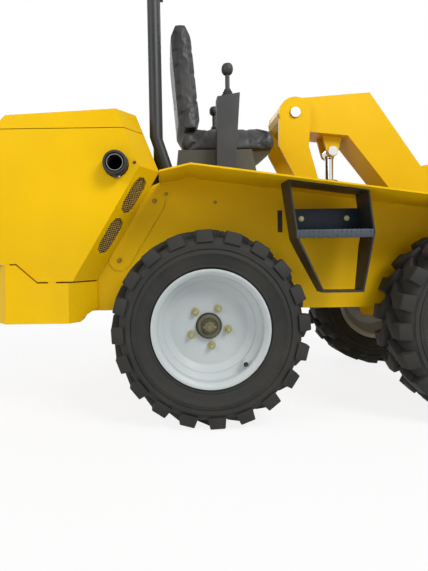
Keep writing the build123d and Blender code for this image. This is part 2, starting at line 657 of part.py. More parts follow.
# Engine cover
def cover_shell():
    """Sheet-metal cover, open below and in front between its two slanted corner panels."""
    rear = -REAR_OVERHANG
    outline = [COVER_FOOT, COVER_NOSE, COVER_TOP_FRONT, COVER_TOP_REAR, (rear, COVER_REAR_SHOULDER),
               (rear, COVER_STEP_REAR[1]), COVER_STEP_REAR, COVER_STEP_FRONT]
    solid = side_prism(outline, -COVER_HALF_WIDTH, COVER_HALF_WIDTH)
    lower = middle_of(COVER_FOOT, COVER_NOSE)
    upper = middle_of(COVER_NOSE, COVER_TOP_FRONT)
    back = (rear, (COVER_REAR_SHOULDER + COVER_STEP_REAR[1]) / 2)
    for y in (-COVER_HALF_WIDTH, COVER_HALF_WIDTH):
        side = min(solid.faces(), key=lambda face: abs(face.center().Y - y))
        front = [edge_at(solid, place, y) for place in (lower, upper)]
        solid = chamfer(front, COVER_CHAMFER_SIDE, COVER_CHAMFER_FRONT, reference=side)
        solid = chamfer(edge_at(solid, back, y), COVER_CHAMFER_REAR)
    step_middle = middle_of(COVER_STEP_REAR, COVER_STEP_FRONT)
    heights = (COVER_STEP_REAR[1], COVER_STEP_FRONT[1], step_middle[1], lower[1])
    flat = [face for face in solid.faces() if abs(face.center().Y) < 1]
    openings = [face for face in flat if min(abs(face.center().Z - height) for height in heights) < 2]
    return offset(solid, amount=-COVER_SHEET, openings=openings)


def slant_plane(height):
    """Plane on the right slanted corner panel, with X along its slope."""
    (foot_x, foot_z), (nose_x, nose_z) = COVER_FOOT, COVER_NOSE
    slope = Vector(nose_x - foot_x, 0, nose_z - foot_z).normalized()
    rearward = Vector(-slope.Z, 0, slope.X)
    share = (height - foot_z) / (nose_z - foot_z)
    x, z = at(foot_x + share * (nose_x - foot_x), height)
    across = rearward * COVER_CHAMFER_SIDE + Vector(0, -COVER_CHAMFER_FRONT, 0)
    inner = Vector(x, COVER_CHAMFER_FRONT - COVER_HALF_WIDTH, z)
    return Plane(inner + across / 2, x_dir=slope, z_dir=slope.cross(across))


def vents(lap, low, high):
    """One slot-shaped solid per vent on the right corner panel, from depth low to high."""
    half = (VENT_LENGTH - VENT_WIDTH) / 2
    face = make_face(Polyline(*slot_outline((-half, 0), (half, 0), VENT_WIDTH / 2 + lap), close=True))
    slot = Pos(0, 0, low) * extrude(face, amount=high - low, dir=(0, 0, 1))
    return [slant_plane(height) * slot for height in VENT_HEIGHTS]


def hinge_leaves(rows, direction):
    """Hinge leaves on the sheet up the slope (+1) or down it (-1), each reaching to the hinge's axis."""
    (x, z), run, out = LID_SEAM, LID_SLOPE, (-LID_SLOPE[1], LID_SLOPE[0])
    low, high = HINGE_OFFSET - HINGE_LEAF / 2, HINGE_OFFSET + HINGE_LEAF / 2
    foot, depth = HINGE_REACH - HINGE_FOOT, -COVER_SHEET / 2
    corners = [(0, low), (0, high), (HINGE_REACH, high), (HINGE_REACH, depth), (foot, depth), (foot, low)]
    leaf = [(x + direction * a * run[0] + b * out[0], z + direction * a * run[1] + b * out[1])
            for a, b in corners]
    return [side_prism(leaf, *row) for row in rows]


def cover_and_lid():
    shell = cover_shell()
    far = 2 * OVERALL_LENGTH
    lid = shell & block((-far, far), (-far, far), (LID_HEIGHT + LID_GAP, far))
    cover = shell & block((-far, far), (-far, far), (0, LID_HEIGHT))
    low, high = HINGE_Y - HINGE_KNUCKLE_GAP / 2, HINGE_Y + HINGE_KNUCKLE_GAP / 2
    end = HINGE_Y + HINGE_KNUCKLE
    x, z = at(*LID_HINGE)
    lid += hinge_leaves([(-low, low)], 1)
    lid += Pos(x, 0, z) * Rot(90, 0, 0) * Cylinder(HINGE_RADIUS, 2 * low)
    for row in ((-end, -high), (high, end)):
        cover += hinge_leaves([row], -1)
        cover += cross_bar(LID_HINGE, HINGE_RADIUS, *row)
    for slot in vents(0, -4 * COVER_SHEET, 4 * COVER_SHEET):
        cover = cover - slot - left_of(slot)
    cover -= block((-REAR_OVERHANG - COVER_SHEET, 2 * COVER_SHEET - REAR_OVERHANG),
                   (-GRILLE_HALF_WIDTH, GRILLE_HALF_WIDTH), (GRILLE_LOW, GRILLE_HIGH))
    cover -= cross_bar(EXHAUST_PLACE, EXHAUST_RADIUS + EXHAUST_ROOM, -COVER_HALF_WIDTH - EXHAUST_REACH,
                       EXHAUST_REACH - COVER_HALF_WIDTH, BOSS_SIDES)
    return cover, lid


def vent_mesh():
    sheets = vents(VENT_LAP, -COVER_SHEET - VENT_SHEET, -COVER_SHEET)
    return Compound(children=[solid for sheet in sheets for solid in sheet.solids()])


def rear_grille():
    """Louvred panel behind the rear opening, with a rim lapping the cover from inside."""
    inner = -REAR_OVERHANG + COVER_SHEET
    half, slot_half = GRILLE_HALF_WIDTH + GRILLE_LAP, GRILLE_HALF_WIDTH - GRILLE_SLOT_INSET
    heights = (GRILLE_LOW - GRILLE_LAP, GRILLE_HIGH + GRILLE_LAP)
    panel = block((inner, inner + GRILLE_SHEET), (-half, half), heights)
    pitch = (GRILLE_HIGH - GRILLE_LOW) / GRILLE_SLOTS
    for i in range(GRILLE_SLOTS):
        low = GRILLE_LOW + pitch * (i + 0.25)
        panel -= block((inner, inner + GRILLE_SHEET), (-slot_half, slot_half), (low, low + pitch / 2))
    return panel


def engine_block():
    side = (-ENGINE_HALF_WIDTH, ENGINE_HALF_WIDTH)
    engine = block((ENGINE_REAR, ENGINE_FRONT), side, (BELLY_TOP, ENGINE_TOP))
    half = ENGINE_HALF_WIDTH - ENGINE_HEAD_INSET
    return engine + block((ENGINE_REAR + ENGINE_HEAD_INSET, ENGINE_FRONT - ENGINE_HEAD_INSET), (-half, half),
                          (ENGINE_TOP, ENGINE_TOP + ENGINE_HEAD_HEIGHT))


def exhaust():
    """Tail pipe out through the right side panel, held on the engine by a stand."""
    x, z = EXHAUST_PLACE
    end, inner, foot = -COVER_HALF_WIDTH - EXHAUST_REACH, -EXHAUST_INNER_Y, -EXHAUST_INNER_Y - EXHAUST_STAND
    pipe = cross_bar((x, z), EXHAUST_RADIUS, end, inner, BOSS_SIDES)
    pipe -= cross_bar((x, z), EXHAUST_BORE, end, foot, BOSS_SIDES)
    return pipe + block((x - EXHAUST_STAND_HALF, x + EXHAUST_STAND_HALF), (foot, inner), (ENGINE_TOP, z))


# Boom, tower and cylinders
def boom_tower():
    outline = [(TOWER_REAR, BELLY_TOP), (TOWER_FOOT_FRONT, BELLY_TOP), *TOWER_SIDES]
    plate = side_prism(outline, -TOWER_OUTER_Y, -TOWER_INNER_Y)
    plate += cross_bar(BOOM_PIVOT, PIVOT_BOSS_RADIUS, -TOWER_OUTER_Y, -TOWER_INNER_Y, BOSS_SIDES)
    for place, radius in ((BOOM_PIVOT, PIVOT_PIN_RADIUS), (LIFT_FOOT, CYLINDER_PIN_RADIUS)):
        plate -= cross_bar(place, radius + SEAT_CLEARANCE, -TOWER_OUTER_Y, -TOWER_INNER_Y, bore=True)
    rear = TOWER_REAR + TOWER_WEB_INSET
    web = block((rear, rear + TOWER_PLATE), (-TOWER_INNER_Y, TOWER_INNER_Y), (BELLY_TOP, TOWER_WEB_TOP))
    return plate + left_of(plate) + web


def pin(place, radius, half_width):
    """Round cross pin that stands out of its plates by a head's thickness at each end."""
    x, z = at(*place)
    return Pos(x, 0, z) * Rot(90, 0, 0) * Cylinder(radius, 2 * (half_width + PIN_HEAD))


def pin_heads(place, radius, half_width):
    """The two heads of a pin on the outer faces of its ears."""
    head = cross_bar(place, radius, -half_width - PIN_HEAD, -half_width)
    return head + left_of(head)


def tower_pins():
    pins = [pin(BOOM_PIVOT, PIVOT_PIN_RADIUS, TOWER_OUTER_Y),
            pin(LIFT_FOOT, CYLINDER_PIN_RADIUS, TOWER_OUTER_Y)]
    return Compound(children=[solid for one in pins for solid in one.solids()])


def ears(outline, centre, radius, inner, bore):
    """Two like ear plates with a rounded end about a pin, bored for it unless bore is 0."""
    plate = side_prism(outline, -inner - EAR_PLATE, -inner)
    plate += cross_bar(centre, radius, -inner - EAR_PLATE, -inner)
    if bore:
        plate -= cross_bar(centre, bore, -inner - EAR_PLATE, -inner, bore=True)
    return plate + left_of(plate)


def boom():
    """Hollow bent box on the tower's pin, with ears for the lift cylinder below and the tilt cylinder above."""
    side, far = BOOM_HALF_WIDTH, 2 * BOOM_HALF_WIDTH
    box = side_prism(bent_bar((BOOM_PIVOT, BOOM_KNEE, BOOM_BEND, TOOL_PIN), BOOM_HALF_DEPTHS), -side, side)
    box += cross_bar(BOOM_PIVOT, BOOM_HALF_DEPTHS[0], -side, side, BOSS_SIDES)
    hollow = (toward(BOOM_PIVOT, BOOM_KNEE, BOOM_END_WALL), BOOM_KNEE, BOOM_BEND,
              toward(TOOL_PIN, BOOM_BEND, BOOM_TIP_WALL))
    depths = [depth - BOOM_SHEET for depth in BOOM_HALF_DEPTHS]
    box -= side_prism(bent_bar(hollow, depths), BOOM_SHEET - side, side - BOOM_SHEET)
    for place, radius, half, pin_radius in ((BOOM_PIVOT, PIVOT_TUBE_RADIUS, TOWER_INNER_Y, PIVOT_PIN_RADIUS),
                                            (TOOL_PIN, TOOL_TUBE_RADIUS, COUPLER_EAR_INNER, TOOL_PIN_RADIUS)):
        box += cross_bar(place, radius, SEAT_CLEARANCE - half, half - SEAT_CLEARANCE, BOSS_SIDES)
        box -= cross_bar(place, pin_radius + RUNNING_CLEARANCE, -far, far, bore=True)
    (ux, uz), (bx, bz) = LIFT_EYE, TILT_FOOT
    root = BOOM_KNEE[1] - LIFT_EAR_ROOT
    lift_ear = [(ux - LIFT_EAR_HALF, root), (ux + LIFT_EAR_HALF, root), (ux + EYE_RADIUS, uz),
                (ux - EYE_RADIUS, uz)]
    box += ears(lift_ear, LIFT_EYE, EYE_RADIUS, EAR_INNER_Y, 0)
    feet = [(bx + x, bz + z) for x, z in (TILT_EAR_REAR, TILT_EAR_FRONT)]
    tilt_ear = [feet[0], (bx, bz + EYE_RADIUS), (bx + TILT_EAR_TOE, bz - EYE_RADIUS), feet[1]]
    return box + ears(tilt_ear, TILT_FOOT, EYE_RADIUS, EAR_INNER_Y, CYLINDER_PIN_RADIUS + SEAT_CLEARANCE)


def boom_pins():
    """Tilt cylinder's foot pin, and the heads of the lift cylinder's upper pin on its ears."""
    heads = pin_heads(LIFT_EYE, EYE_NECK_RADIUS, EAR_OUTER_Y)
    return Compound(children=[*pin(TILT_FOOT, CYLINDER_PIN_RADIUS, EAR_OUTER_Y).solids(), *heads.solids()])


def barrel(foot, eye, radius, length, rod_radius):
    """Cylinder barrel on its foot pin, bored for the rod, with a gland collar at its mouth."""
    start = EYE_RADIUS + EAR_GAP
    mouth = toward(foot, eye, start + length)
    body = long_bar(toward(foot, eye, start), mouth, radius)
    body += long_bar(toward(foot, eye, EYE_RADIUS / 2), toward(foot, eye, start), EYE_NECK_RADIUS)
    body += long_bar(toward(foot, eye, start + length - GLAND_LENGTH), mouth, radius + GLAND_LEDGE)
    body += cross_bar(foot, EYE_RADIUS, -EYE_HALF_WIDTH, EYE_HALF_WIDTH)
    body -= long_bar(toward(foot, eye, start + BARREL_END), mouth, rod_radius + RUNNING_CLEARANCE, bore=True)
    bore_radius = CYLINDER_PIN_RADIUS + RUNNING_CLEARANCE
    return body - cross_bar(foot, bore_radius, -EYE_HALF_WIDTH, EYE_HALF_WIDTH, bore=True)


def rod(foot, eye, radius, start):
    """Piston rod from inside the barrel to its eye."""
    bar = long_bar(toward(foot, eye, start), eye, radius)
    return bar + cross_bar(eye, ROD_EYE_RADIUS, -EYE_HALF_WIDTH, EYE_HALF_WIDTH)


# Tool
def coupler():
    """Tool carrier plate with a centre window, two ears on the boom's end and two for the tilt cylinder."""
    back = TOOL_FACE - COUPLER_PLATE
    plate = block((back, TOOL_FACE), (-COUPLER_HALF_WIDTH, COUPLER_HALF_WIDTH), (COUPLER_LOW, COUPLER_HIGH))
    window = EYE_HALF_WIDTH + COUPLER_WINDOW_ROOM
    plate -= block((back, TOOL_FACE), (-window, window), (TOOL_PIN[1] + COUPLER_WINDOW_RISE, COUPLER_HIGH))
    (cx, cz), (tx, tz) = TOOL_PIN, TILT_EYE
    outline = [(cx, cz + TOOL_TUBE_RADIUS), (back, cz + COUPLER_EAR_RISE),
               (back, COUPLER_LOW + COUPLER_EAR_FOOT), (cx, cz - TOOL_TUBE_RADIUS)]
    plate += ears(outline, TOOL_PIN, TOOL_TUBE_RADIUS, COUPLER_EAR_INNER, TOOL_PIN_RADIUS + SEAT_CLEARANCE)
    outline = [(tx, tz + EYE_RADIUS), (back, tz + TILT_EAR_RISE), (back, tz - TILT_EAR_FALL),
               (tx, tz - EYE_RADIUS)]
    return plate + ears(outline, TILT_EYE, EYE_RADIUS, EAR_INNER_Y, 0)


def tool_pins():
    """Pin through the boom's end, and the heads of the tilt cylinder's pin on its ears."""
    main = pin(TOOL_PIN, TOOL_PIN_RADIUS, COUPLER_EAR_INNER + EAR_PLATE)
    return Compound(children=[*main.solids(), *pin_heads(TILT_EYE, EYE_NECK_RADIUS, EAR_OUTER_Y).solids()])


def bucket():
    """Open bucket with a rounded heel, a bent-back upper lip and a bevelled cutting edge."""
    tip, back, sheet, half = BUCKET_TIP, TOOL_FACE, BUCKET_SHEET, BUCKET_HALF_WIDTH
    bend, top, lip = BUCKET_HEIGHT - BUCKET_LIP_HEIGHT, BUCKET_HEIGHT, BUCKET_LIP
    outside = side_prism([(tip, 0), (back, 0), (back, bend), (back + lip, top)], -half, half)
    outside = fillet(edge_at(outside, (back, 0), 0), BUCKET_HEEL_RADIUS)
    slope = math.hypot(lip, BUCKET_LIP_HEIGHT)
    turn = sheet * (slope - BUCKET_LIP_HEIGHT) / lip
    rise = top + BUCKET_LIP_HEIGHT
    run = back + sheet + lip * (rise - bend + turn) / BUCKET_LIP_HEIGHT
    inside = side_prism([(tip + lip, sheet), (back + sheet, sheet), (back + sheet, bend - turn), (run, rise),
                         (tip + lip, rise)], sheet - half, half - sheet)
    inside = fillet(edge_at(inside, (back + sheet, sheet), 0), BUCKET_HEEL_RADIUS - sheet)
    edge = [(tip - CUTTING_EDGE, 0), (tip, 0), (tip - CUTTING_EDGE_BEVEL, CUTTING_EDGE_SHEET),
            (tip - CUTTING_EDGE, CUTTING_EDGE_SHEET)]
    return outside - inside + side_prism(edge, -half, half)


# Steps, seat and roll bar
def step():
    """Bent-bar step frame hung under the right running board, with a folded tread and back plate."""
    tops = [(STEP_MIDDLE + x, board_top(STEP_MIDDLE + x) - PLATE) for x in (STEP_TOP_REAR, STEP_TOP_FRONT)]
    outline = [tops[0], *[(STEP_MIDDLE + x, z) for x, z in STEP_FRAME], tops[1]]
    face = make_face(Polyline(*outline, close=True))
    hollow = face - offset(face, amount=-STEP_BAR, kind=Kind.INTERSECTION)
    width = STEP_OUTER_Y - STEP_INNER_Y
    frame = Pos(REAR_AXLE_X, -STEP_INNER_Y, 0) * Rot(90, 0, 0) * extrude(hollow, amount=width, dir=(0, 0, 1))
    rear, front = outline[0][0], outline[4][0]
    top, outer, inner = STEP_TREAD_HEIGHT, -STEP_OUTER_Y, -STEP_INNER_Y
    tread = block((rear, front), (outer, inner), (top - STEP_BAR, top))
    tread += block((rear, front), (outer, outer + STEP_BAR), (top - STEP_LIP, top))
    tread += block((rear, front), (inner - STEP_BAR, inner), (top, top + STEP_BACK))
    frame += tread & side_prism(outline, outer, inner)
    low = STEP_FRAME[1][1] - STEP_BAR
    wedge = [(inner, low), (inner - STEP_TAPER, low), (inner, top - STEP_TAPER_DROP)]
    cut = Pos(REAR_AXLE_X, 0, 0) * Rot(0, 0, 90) * Rot(90, 0, 0) * extrude(
        make_face(Polyline(*wedge, close=True)), amount=WHEELBASE, dir=(0, 0, 1))
    return frame - cut


def seat_base():
    rear, front = SEAT_BASE_REAR, SEAT_BASE_FRONT
    outline = [(rear, board_top(rear)), BOARD_PEAK, (front, board_top(front)),
               (SEAT_BASE_FRONT_TOP, SEAT_BASE_TOP), (rear, SEAT_BASE_TOP)]
    return side_prism(outline, -SEAT_BASE_HALF_WIDTH, SEAT_BASE_HALF_WIDTH)


def seat_cushion():
    pad = block((SEAT_BASE_REAR, SEAT_BASE_REAR + CUSHION_LENGTH), (-SEAT_HALF_WIDTH, SEAT_HALF_WIDTH),
                (SEAT_BASE_TOP, SEAT_BASE_TOP + CUSHION_THICKNESS))
    return chamfer(pad.edges().filter_by(Axis.Z), CUSHION_CORNER)


def seat_back():
    low = SEAT_BASE_TOP + CUSHION_THICKNESS
    high = low + BACKREST_HEIGHT
    x = SEAT_BASE_REAR + BACKREST_SETBACK
    rear, front = x - BACKREST_LEAN, x - BACKREST_LEAN + BACKREST_THICKNESS
    outline = [(x, low), (x + BACKREST_FOOT, low), (front, high), (rear, high)]
    pad = side_prism(outline, -SEAT_HALF_WIDTH, SEAT_HALF_WIDTH)
    top = middle_of((rear, high), (front, high))
    return chamfer([edge_at(pad, top, y) for y in (-SEAT_HALF_WIDTH, SEAT_HALF_WIDTH)], BACKREST_CORNER)


def roll_bar():
    """Two-post hoop behind the seat, standing on the deck by a foot plate under each post."""
    side, corner, top = ROLL_BAR_HALF_WIDTH, ROLL_BAR_CORNER, ROLL_BAR_TOP - ROLL_BAR_RADIUS
    foot = (ROLL_BAR_FOOT, board_top(ROLL_BAR_FOOT) + ROLL_BAR_PAD_HEIGHT / 2)
    turns = [180 - 90 * i / BEND_SIDES for i in range(BEND_SIDES + 1)]
    arc = [polar((corner - side, top - corner), corner, turn) for turn in turns]
    right = [(*at(*place), -side) for place in (foot, ROLL_BAR_KNEE)]
    right += [(REAR_AXLE_X + ROLL_BAR_PLACE, z, y) for y, z in arc]
    path = [(x, y, z) for x, z, y in right] + [(x, -y, z) for x, z, y in right[::-1]]
    pad = [(x, board_top(x)) for x in (ROLL_BAR_FOOT - ROLL_BAR_PAD, ROLL_BAR_FOOT + ROLL_BAR_PAD)]
    pad += [(x, z + ROLL_BAR_PAD_HEIGHT) for x, z in pad[::-1]]
    plate = side_prism(pad, -side - ROLL_BAR_PAD_HALF_WIDTH, ROLL_BAR_PAD_HALF_WIDTH - side)
    return tube(path, ROLL_BAR_RADIUS, TUBE_SIDES) + plate + left_of(plate)


def control_pod():
    """Control column beside the seat with its hand lever."""
    outline = [*[(x, board_top(x)) for x in POD_FOOT], *POD_TOP]
    pod = side_prism(outline, -POD_Y - POD_HALF_WIDTH, POD_HALF_WIDTH - POD_Y)
    x, z = at(*LEVER_PLACE)
    pod += tube([(x, -POD_Y, z), (x, -POD_Y, z + LEVER_LENGTH)], LEVER_RADIUS, TUBE_SIDES)
    waist = [polar((0, 0), KNOB_RADIUS, turn) for turn in (-45, 0, 45)]
    knob = turned([(0, -KNOB_RADIUS), *waist, (0, KNOB_RADIUS)], TUBE_SIDES)
    return pod + Pos(x, -POD_Y, z + LEVER_LENGTH + KNOB_RADIUS / 4) * Rot(90, 0, 0) * knob


def work_lamp():
    """Round lamp under the hoop's top bar, facing forward."""
    x, z = at(ROLL_BAR_PLACE, ROLL_BAR_TOP - 2 * ROLL_BAR_RADIUS - SEAT_CLEARANCE)
    section = RegularPolygon(LAMP_RADIUS, BOSS_SIDES)
    lamp = Rot(0, 90, 0) * extrude(section, amount=LAMP_LENGTH)
    lamp = Pos(x + LAMP_AHEAD - LAMP_LENGTH / 2, -LAMP_Y, z - LAMP_DROP) * lamp
    return lamp + Pos(x, -LAMP_Y, z - LAMP_RADIUS / 2) * Box(LAMP_STEM, LAMP_STEM, LAMP_RADIUS)


def rear_lamp():
    back, outer = -REAR_OVERHANG, COVER_HALF_WIDTH - COVER_CHAMFER_REAR - REAR_LAMP_INSET
    return block((back - REAR_LAMP_DEPTH, back), (-outer, REAR_LAMP_WIDTH - outer),
                 (REAR_LAMP_LOW, REAR_LAMP_LOW + REAR_LAMP_HEIGHT))


def place_wheel(shape, x, side):
    """Wheel piece at its axle; side is -1 on the right and +1 on the left."""
    turned_out = shape if side < 0 else left_of(shape)
    return Pos(x, side * HALF_TRACK, TYRE_RADIUS) * turned_out


def build_nodes():
    cover, lid = cover_and_lid()
    nodes = {
        "chassis_frame": chassis_frame(),
        "access_plates": both_sides(access_plate()),
        "rear_counterweight": counterweight(),
        "tow_hitch": tow_hitch(),
        "engine_cover": cover,
        "hood_lid": lid,
        "vent_meshes": both_sides(vent_mesh()),
        "rear_grille": rear_grille(),
        "engine_block": engine_block(),
        "exhaust_pipe": exhaust(),
        "boom_tower": boom_tower(),
        "tower_pins": tower_pins(),
        "seat_base": seat_base(),
        "seat_cushion": seat_cushion(),
        "seat_back": seat_back(),
        "roll_bar": roll_bar(),
        "control_pods": both_sides(control_pod()),
        "work_lamps": both_sides(work_lamp()),
        "rear_lamps": both_sides(rear_lamp()),
        "boom": boom(),
        "boom_pins": boom_pins(),
        "lift_barrel": barrel(LIFT_FOOT, LIFT_EYE, LIFT_BARREL_RADIUS, LIFT_BARREL_LENGTH, LIFT_ROD_RADIUS),
        "lift_rod": rod(LIFT_FOOT, LIFT_EYE, LIFT_ROD_RADIUS, LIFT_ROD_START),
        "tilt_barrel": barrel(TILT_FOOT, TILT_EYE, TILT_BARREL_RADIUS, TILT_BARREL_LENGTH, TILT_ROD_RADIUS),
        "tilt_rod": rod(TILT_FOOT, TILT_EYE, TILT_ROD_RADIUS, TILT_ROD_START),
        "tool_coupler": coupler(),
        "tool_pins": tool_pins(),
        "bucket": bucket(),
    }
    for name, turn in (("right", lambda shape: shape), ("left", left_of)):
        nodes["running_board_" + name] = turn(running_board())
        nodes["step_" + name] = turn(step())
    pieces = {"tyre": tyre(), "rim": rim(), "hub": hub()}
    motors = []
    for end, x in (("front", FRONT_AXLE_X), ("rear", REAR_AXLE_X)):
        motor = Pos(x, 0, TYRE_RADIUS) * wheel_motor()
        motors += [*motor.solids(), *left_of(motor).solids()]
        for hand, side in (("right", -1), ("left", 1)):
            for piece, shape in pieces.items():
                nodes[f"{piece}_{end}_{hand}"] = place_wheel(shape, x, side)
    nodes["wheel_motors"] = Compound(children=motors)
    return nodes


if __name__ == "__main__":
    os.makedirs("parts", exist_ok=True)
    for node, shape in build_nodes().items():
        export_step(shape, f"parts/{node}.step")
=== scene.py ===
import bpy
import bmesh
import math
from mathutils import Matrix, Vector


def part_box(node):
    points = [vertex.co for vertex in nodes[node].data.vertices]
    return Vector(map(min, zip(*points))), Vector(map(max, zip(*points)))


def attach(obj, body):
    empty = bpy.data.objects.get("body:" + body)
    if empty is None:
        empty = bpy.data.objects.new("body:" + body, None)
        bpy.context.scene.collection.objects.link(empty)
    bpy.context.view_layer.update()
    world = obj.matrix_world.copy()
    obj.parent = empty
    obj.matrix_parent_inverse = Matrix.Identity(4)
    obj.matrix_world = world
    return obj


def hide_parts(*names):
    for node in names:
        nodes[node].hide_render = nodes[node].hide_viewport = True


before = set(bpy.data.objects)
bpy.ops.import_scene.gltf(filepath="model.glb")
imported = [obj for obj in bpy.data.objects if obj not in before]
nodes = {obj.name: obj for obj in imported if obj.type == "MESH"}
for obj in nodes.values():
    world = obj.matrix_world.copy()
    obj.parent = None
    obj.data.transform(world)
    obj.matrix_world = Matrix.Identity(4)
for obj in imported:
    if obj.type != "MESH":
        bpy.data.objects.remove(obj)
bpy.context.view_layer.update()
print("frame loaded with", len(nodes), "nodes")


# Shared shader groups
def newGroup(name, inputs, outputs):
    group = bpy.data.node_groups.new(name, "ShaderNodeTree")
    for label, kind, value in inputs:
        socket = group.interface.new_socket(name=label, in_out="INPUT", socket_type=kind)
        socket.default_value = value
    for label, kind in outputs:
        group.interface.new_socket(name=label, in_out="OUTPUT", socket_type=kind)
    return group, group.nodes.new("NodeGroupInput"), group.nodes.new("NodeGroupOutput")


def noiseNode(tree, coords, scale, detail):
    noise = tree.nodes.new("ShaderNodeTexNoise")
    noise.inputs["Scale"].default_value = scale
    noise.inputs["Detail"].default_value = detail
    tree.links.new(coords, noise.inputs["Vector"])
    return noise


def rangeNode(tree, value, low, high, start=0.0, end=1.0):
    band = tree.nodes.new("ShaderNodeMapRange")
    for label, number in (("From Min", low), ("From Max", high), ("To Min", start), ("To Max", end)):
        band.inputs[label].default_value = number
    tree.links.new(value, band.inputs["Value"])
    return band.outputs["Result"]


def mathNode(tree, operation, first, second):
    node = tree.nodes.new("ShaderNodeMath")
    node.operation = operation
    for socket, value in zip(node.inputs, (first, second)):
        if isinstance(value, (int, float)):
            socket.default_value = value
        else:
            tree.links.new(value, socket)
    return node.outputs[0]


def mixNode(tree, share, first, second):
    mix = tree.nodes.new("ShaderNodeMix")
    mix.data_type = "RGBA"
    colours = [socket for socket in mix.inputs if socket.type == "RGBA"]
    for value, socket in zip((share, first, second), (mix.inputs[0], *colours)):
        tree.links.new(value, socket)
    return next(socket for socket in mix.outputs if socket.type == "RGBA")


weatherSpec = {"cloudScale": 4.0, "cloud": (0.40, 0.72), "grainScale": 400.0, "speckle": 0.12,
               "toneScale": 2.2, "tone": (0.35, 0.70), "dustTop": 0.75, "dustFoot": 0.05, "shade": 0.88,
               "coatGloss": 0.15}


def buildWeathering():  # broad dust, more of it near the ground, a fine speckle in the gloss and the relief
    spec = weatherSpec
    group, source, sink = newGroup(
        "weathering",
        [("Colour", "NodeSocketColor", (0.8, 0.5, 0.1, 1)), ("Shade", "NodeSocketColor", (0.7, 0.4, 0.1, 1)),
         ("Dust", "NodeSocketColor", (0.4, 0.35, 0.28, 1)), ("Dust Amount", "NodeSocketFloat", 0.1),
         ("Ground Dust", "NodeSocketFloat", 0.2), ("Gloss", "NodeSocketFloat", 0.4),
         ("Patch Scale", "NodeSocketFloat", spec["cloudScale"]),
         ("Grain Scale", "NodeSocketFloat", spec["grainScale"])],
        [("Colour", "NodeSocketColor"), ("Roughness", "NodeSocketFloat"), ("Height", "NodeSocketFloat")])
    coords = group.nodes.new("ShaderNodeTexCoord").outputs["Object"]
    patch = noiseNode(group, coords, spec["cloudScale"], detail=6.0)
    grain = noiseNode(group, coords, spec["grainScale"], detail=2.0)
    tone = noiseNode(group, coords, spec["toneScale"], detail=2.0)
    group.links.new(source.outputs["Patch Scale"], patch.inputs["Scale"])
    group.links.new(source.outputs["Grain Scale"], grain.inputs["Scale"])
    split = group.nodes.new("ShaderNodeSeparateXYZ")
    group.links.new(coords, split.inputs[0])
    nearGround = rangeNode(group, split.outputs["Z"], spec["dustTop"], spec["dustFoot"])
    lowDust = mathNode(group, "MULTIPLY", nearGround, source.outputs["Ground Dust"])
    amount = mathNode(group, "ADD", lowDust, source.outputs["Dust Amount"])
    cloud = rangeNode(group, patch.outputs["Fac"], *spec["cloud"])
    dusty = mathNode(group, "MULTIPLY", cloud, amount)
    uneven = rangeNode(group, tone.outputs["Fac"], *spec["tone"])
    shaded = mixNode(group, uneven, source.outputs["Colour"], source.outputs["Shade"])
    group.links.new(mixNode(group, dusty, shaded, source.outputs["Dust"]), sink.inputs["Colour"])
    speckle = mathNode(group, "MULTIPLY", grain.outputs["Fac"], spec["speckle"])
    rough = mathNode(group, "ADD", source.outputs["Gloss"], speckle)
    group.links.new(mathNode(group, "ADD", rough, dusty), sink.inputs["Roughness"])
    group.links.new(grain.outputs["Fac"], sink.inputs["Height"])
    return group


weathering = buildWeathering()


def finish(name, colour, gloss, dust=(0.42, 0.36, 0.28), dustAmount=0.06, groundDust=0.15, patch=4.0,
           grain=400.0, metal=0.0, coat=0.0, shine=0.5, bump=0.02, bumpDepth=0.001):
    material = bpy.data.materials.new(name)
    material.use_nodes = True
    tree = material.node_tree
    shader = tree.nodes["Principled BSDF"]
    shader.inputs["Metallic"].default_value = metal
    shader.inputs["Coat Weight"].default_value = coat
    shader.inputs["Coat Roughness"].default_value = weatherSpec["coatGloss"]
    shader.inputs["Specular IOR Level"].default_value = shine
    worn = tree.nodes.new("ShaderNodeGroup")
    worn.node_tree = weathering
    worn.inputs["Colour"].default_value = (*colour, 1)
    worn.inputs["Shade"].default_value = (*[value * weatherSpec["shade"] for value in colour], 1)
    worn.inputs["Dust"].default_value = (*dust, 1)
    for label, value in (("Dust Amount", dustAmount), ("Ground Dust", groundDust), ("Gloss", gloss),
                         ("Patch Scale", patch), ("Grain Scale", grain)):
        worn.inputs[label].default_value = value
    relief = tree.nodes.new("ShaderNodeBump")
    relief.inputs["Strength"].default_value = bump
    relief.inputs["Distance"].default_value = bumpDepth
    tree.links.new(worn.outputs["Colour"], shader.inputs["Base Color"])
    tree.links.new(worn.outputs["Roughness"], shader.inputs["Roughness"])
    tree.links.new(worn.outputs["Height"], relief.inputs["Height"])
    tree.links.new(relief.outputs["Normal"], shader.inputs["Normal"])
    return material


